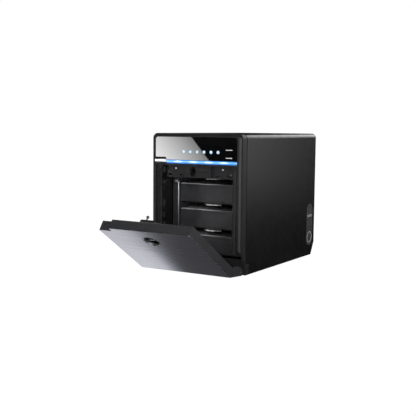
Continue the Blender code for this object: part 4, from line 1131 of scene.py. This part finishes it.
def area(name, at, aim, size, power):
    """A rectangular light that reflections don't show."""
    light = bpy.data.lights.new(name, 'AREA')
    light.shape = 'RECTANGLE'
    light.size, light.size_y = size
    light.energy = power
    obj = add_object(name, light)
    obj.location = at
    obj.rotation_euler = (Vector(aim) - Vector(at)).to_track_quat('-Z', 'Y').to_euler()
    obj.visible_camera = False
    obj.visible_glossy = False


area("front_fill", at=(0.25, -1.6, 0.75), aim=(0, 0, 0.08), size=(0.9, 0.6), power=7.5)
area("top_soft", at=(-0.1, -0.2, 1.6), aim=(0, 0, 0.1), size=(1.2, 0.9), power=6.5)

# floor: white to the camera; to other rays a painted pool of light in front and painted shadow
# towards the right
mat = Material("floor_white", "MixShader")
white, pool = mat.add("Emission"), mat.add("Emission")
white.inputs["Strength"].default_value = 1.02
# distance to the right of a slanting line
across = mat.sub(mat.axis(0), mat.mul(mat.math('ADD', mat.axis(1), 0.088), 0.82))
dx, dy = mat.sub(mat.axis(0), -0.10), mat.sub(mat.axis(1), -0.10)
radius = mat.math('SQRT', mat.math('ADD', mat.mul(dx, dx), mat.mul(dy, dy)))
mat.put(pool.inputs["Strength"], mat.mul(mat.between(radius, 0.14, 0.42, 1.0, 0.03),
                                         mat.between(mat.axis(1), -0.05, -0.015, 1.0, 0.04)))
mat.put(pool.inputs["Color"], mat.ramp(mat.between(across, -0.10, 0.10, 0.0, 1.0), [
    (0.0, (0.95, 0.95, 0.98)), (0.16, (1.0, 1.0, 1.03)), (0.285, (0.86, 0.87, 0.9)),
    (0.352, (0.36, 0.37, 0.40)), (0.415, (0.11, 0.11, 0.12)), (0.52, (0.075, 0.075, 0.081)),
    (1.0, (0.05, 0.05, 0.05))]))
camera_ray = mat.add("LightPath").outputs["Is Camera Ray"]
for i, value in enumerate((camera_ray, pool.outputs[0], white.outputs[0])):
    mat.put(mat.shader.inputs[i], value)
sheet("floor", 24, lambda s, t: (-6 + 12 * s, -6 + 12 * t, 0.0), mat)

# world: white to the camera, nearly black to other rays
studio = bpy.data.worlds.new("studio")
bpy.context.scene.world = studio
studio.use_nodes = True
nodes, links = studio.node_tree.nodes, studio.node_tree.links
nodes.clear()
output = nodes.new("ShaderNodeOutputWorld")
path = nodes.new("ShaderNodeLightPath")
mixer = nodes.new("ShaderNodeMixShader")
links.new(path.outputs["Is Camera Ray"], mixer.inputs[0])
for i, color in ((1, (0.009, 0.009, 0.0095, 1)), (2, (1.02, 1.02, 1.02, 1))):
    background = nodes.new("ShaderNodeBackground")
    background.inputs[0].default_value = color
    links.new(background.outputs[0], mixer.inputs[i])
links.new(mixer.outputs[0], output.inputs[0])
bpy.context.scene.view_settings.view_transform = 'Standard'
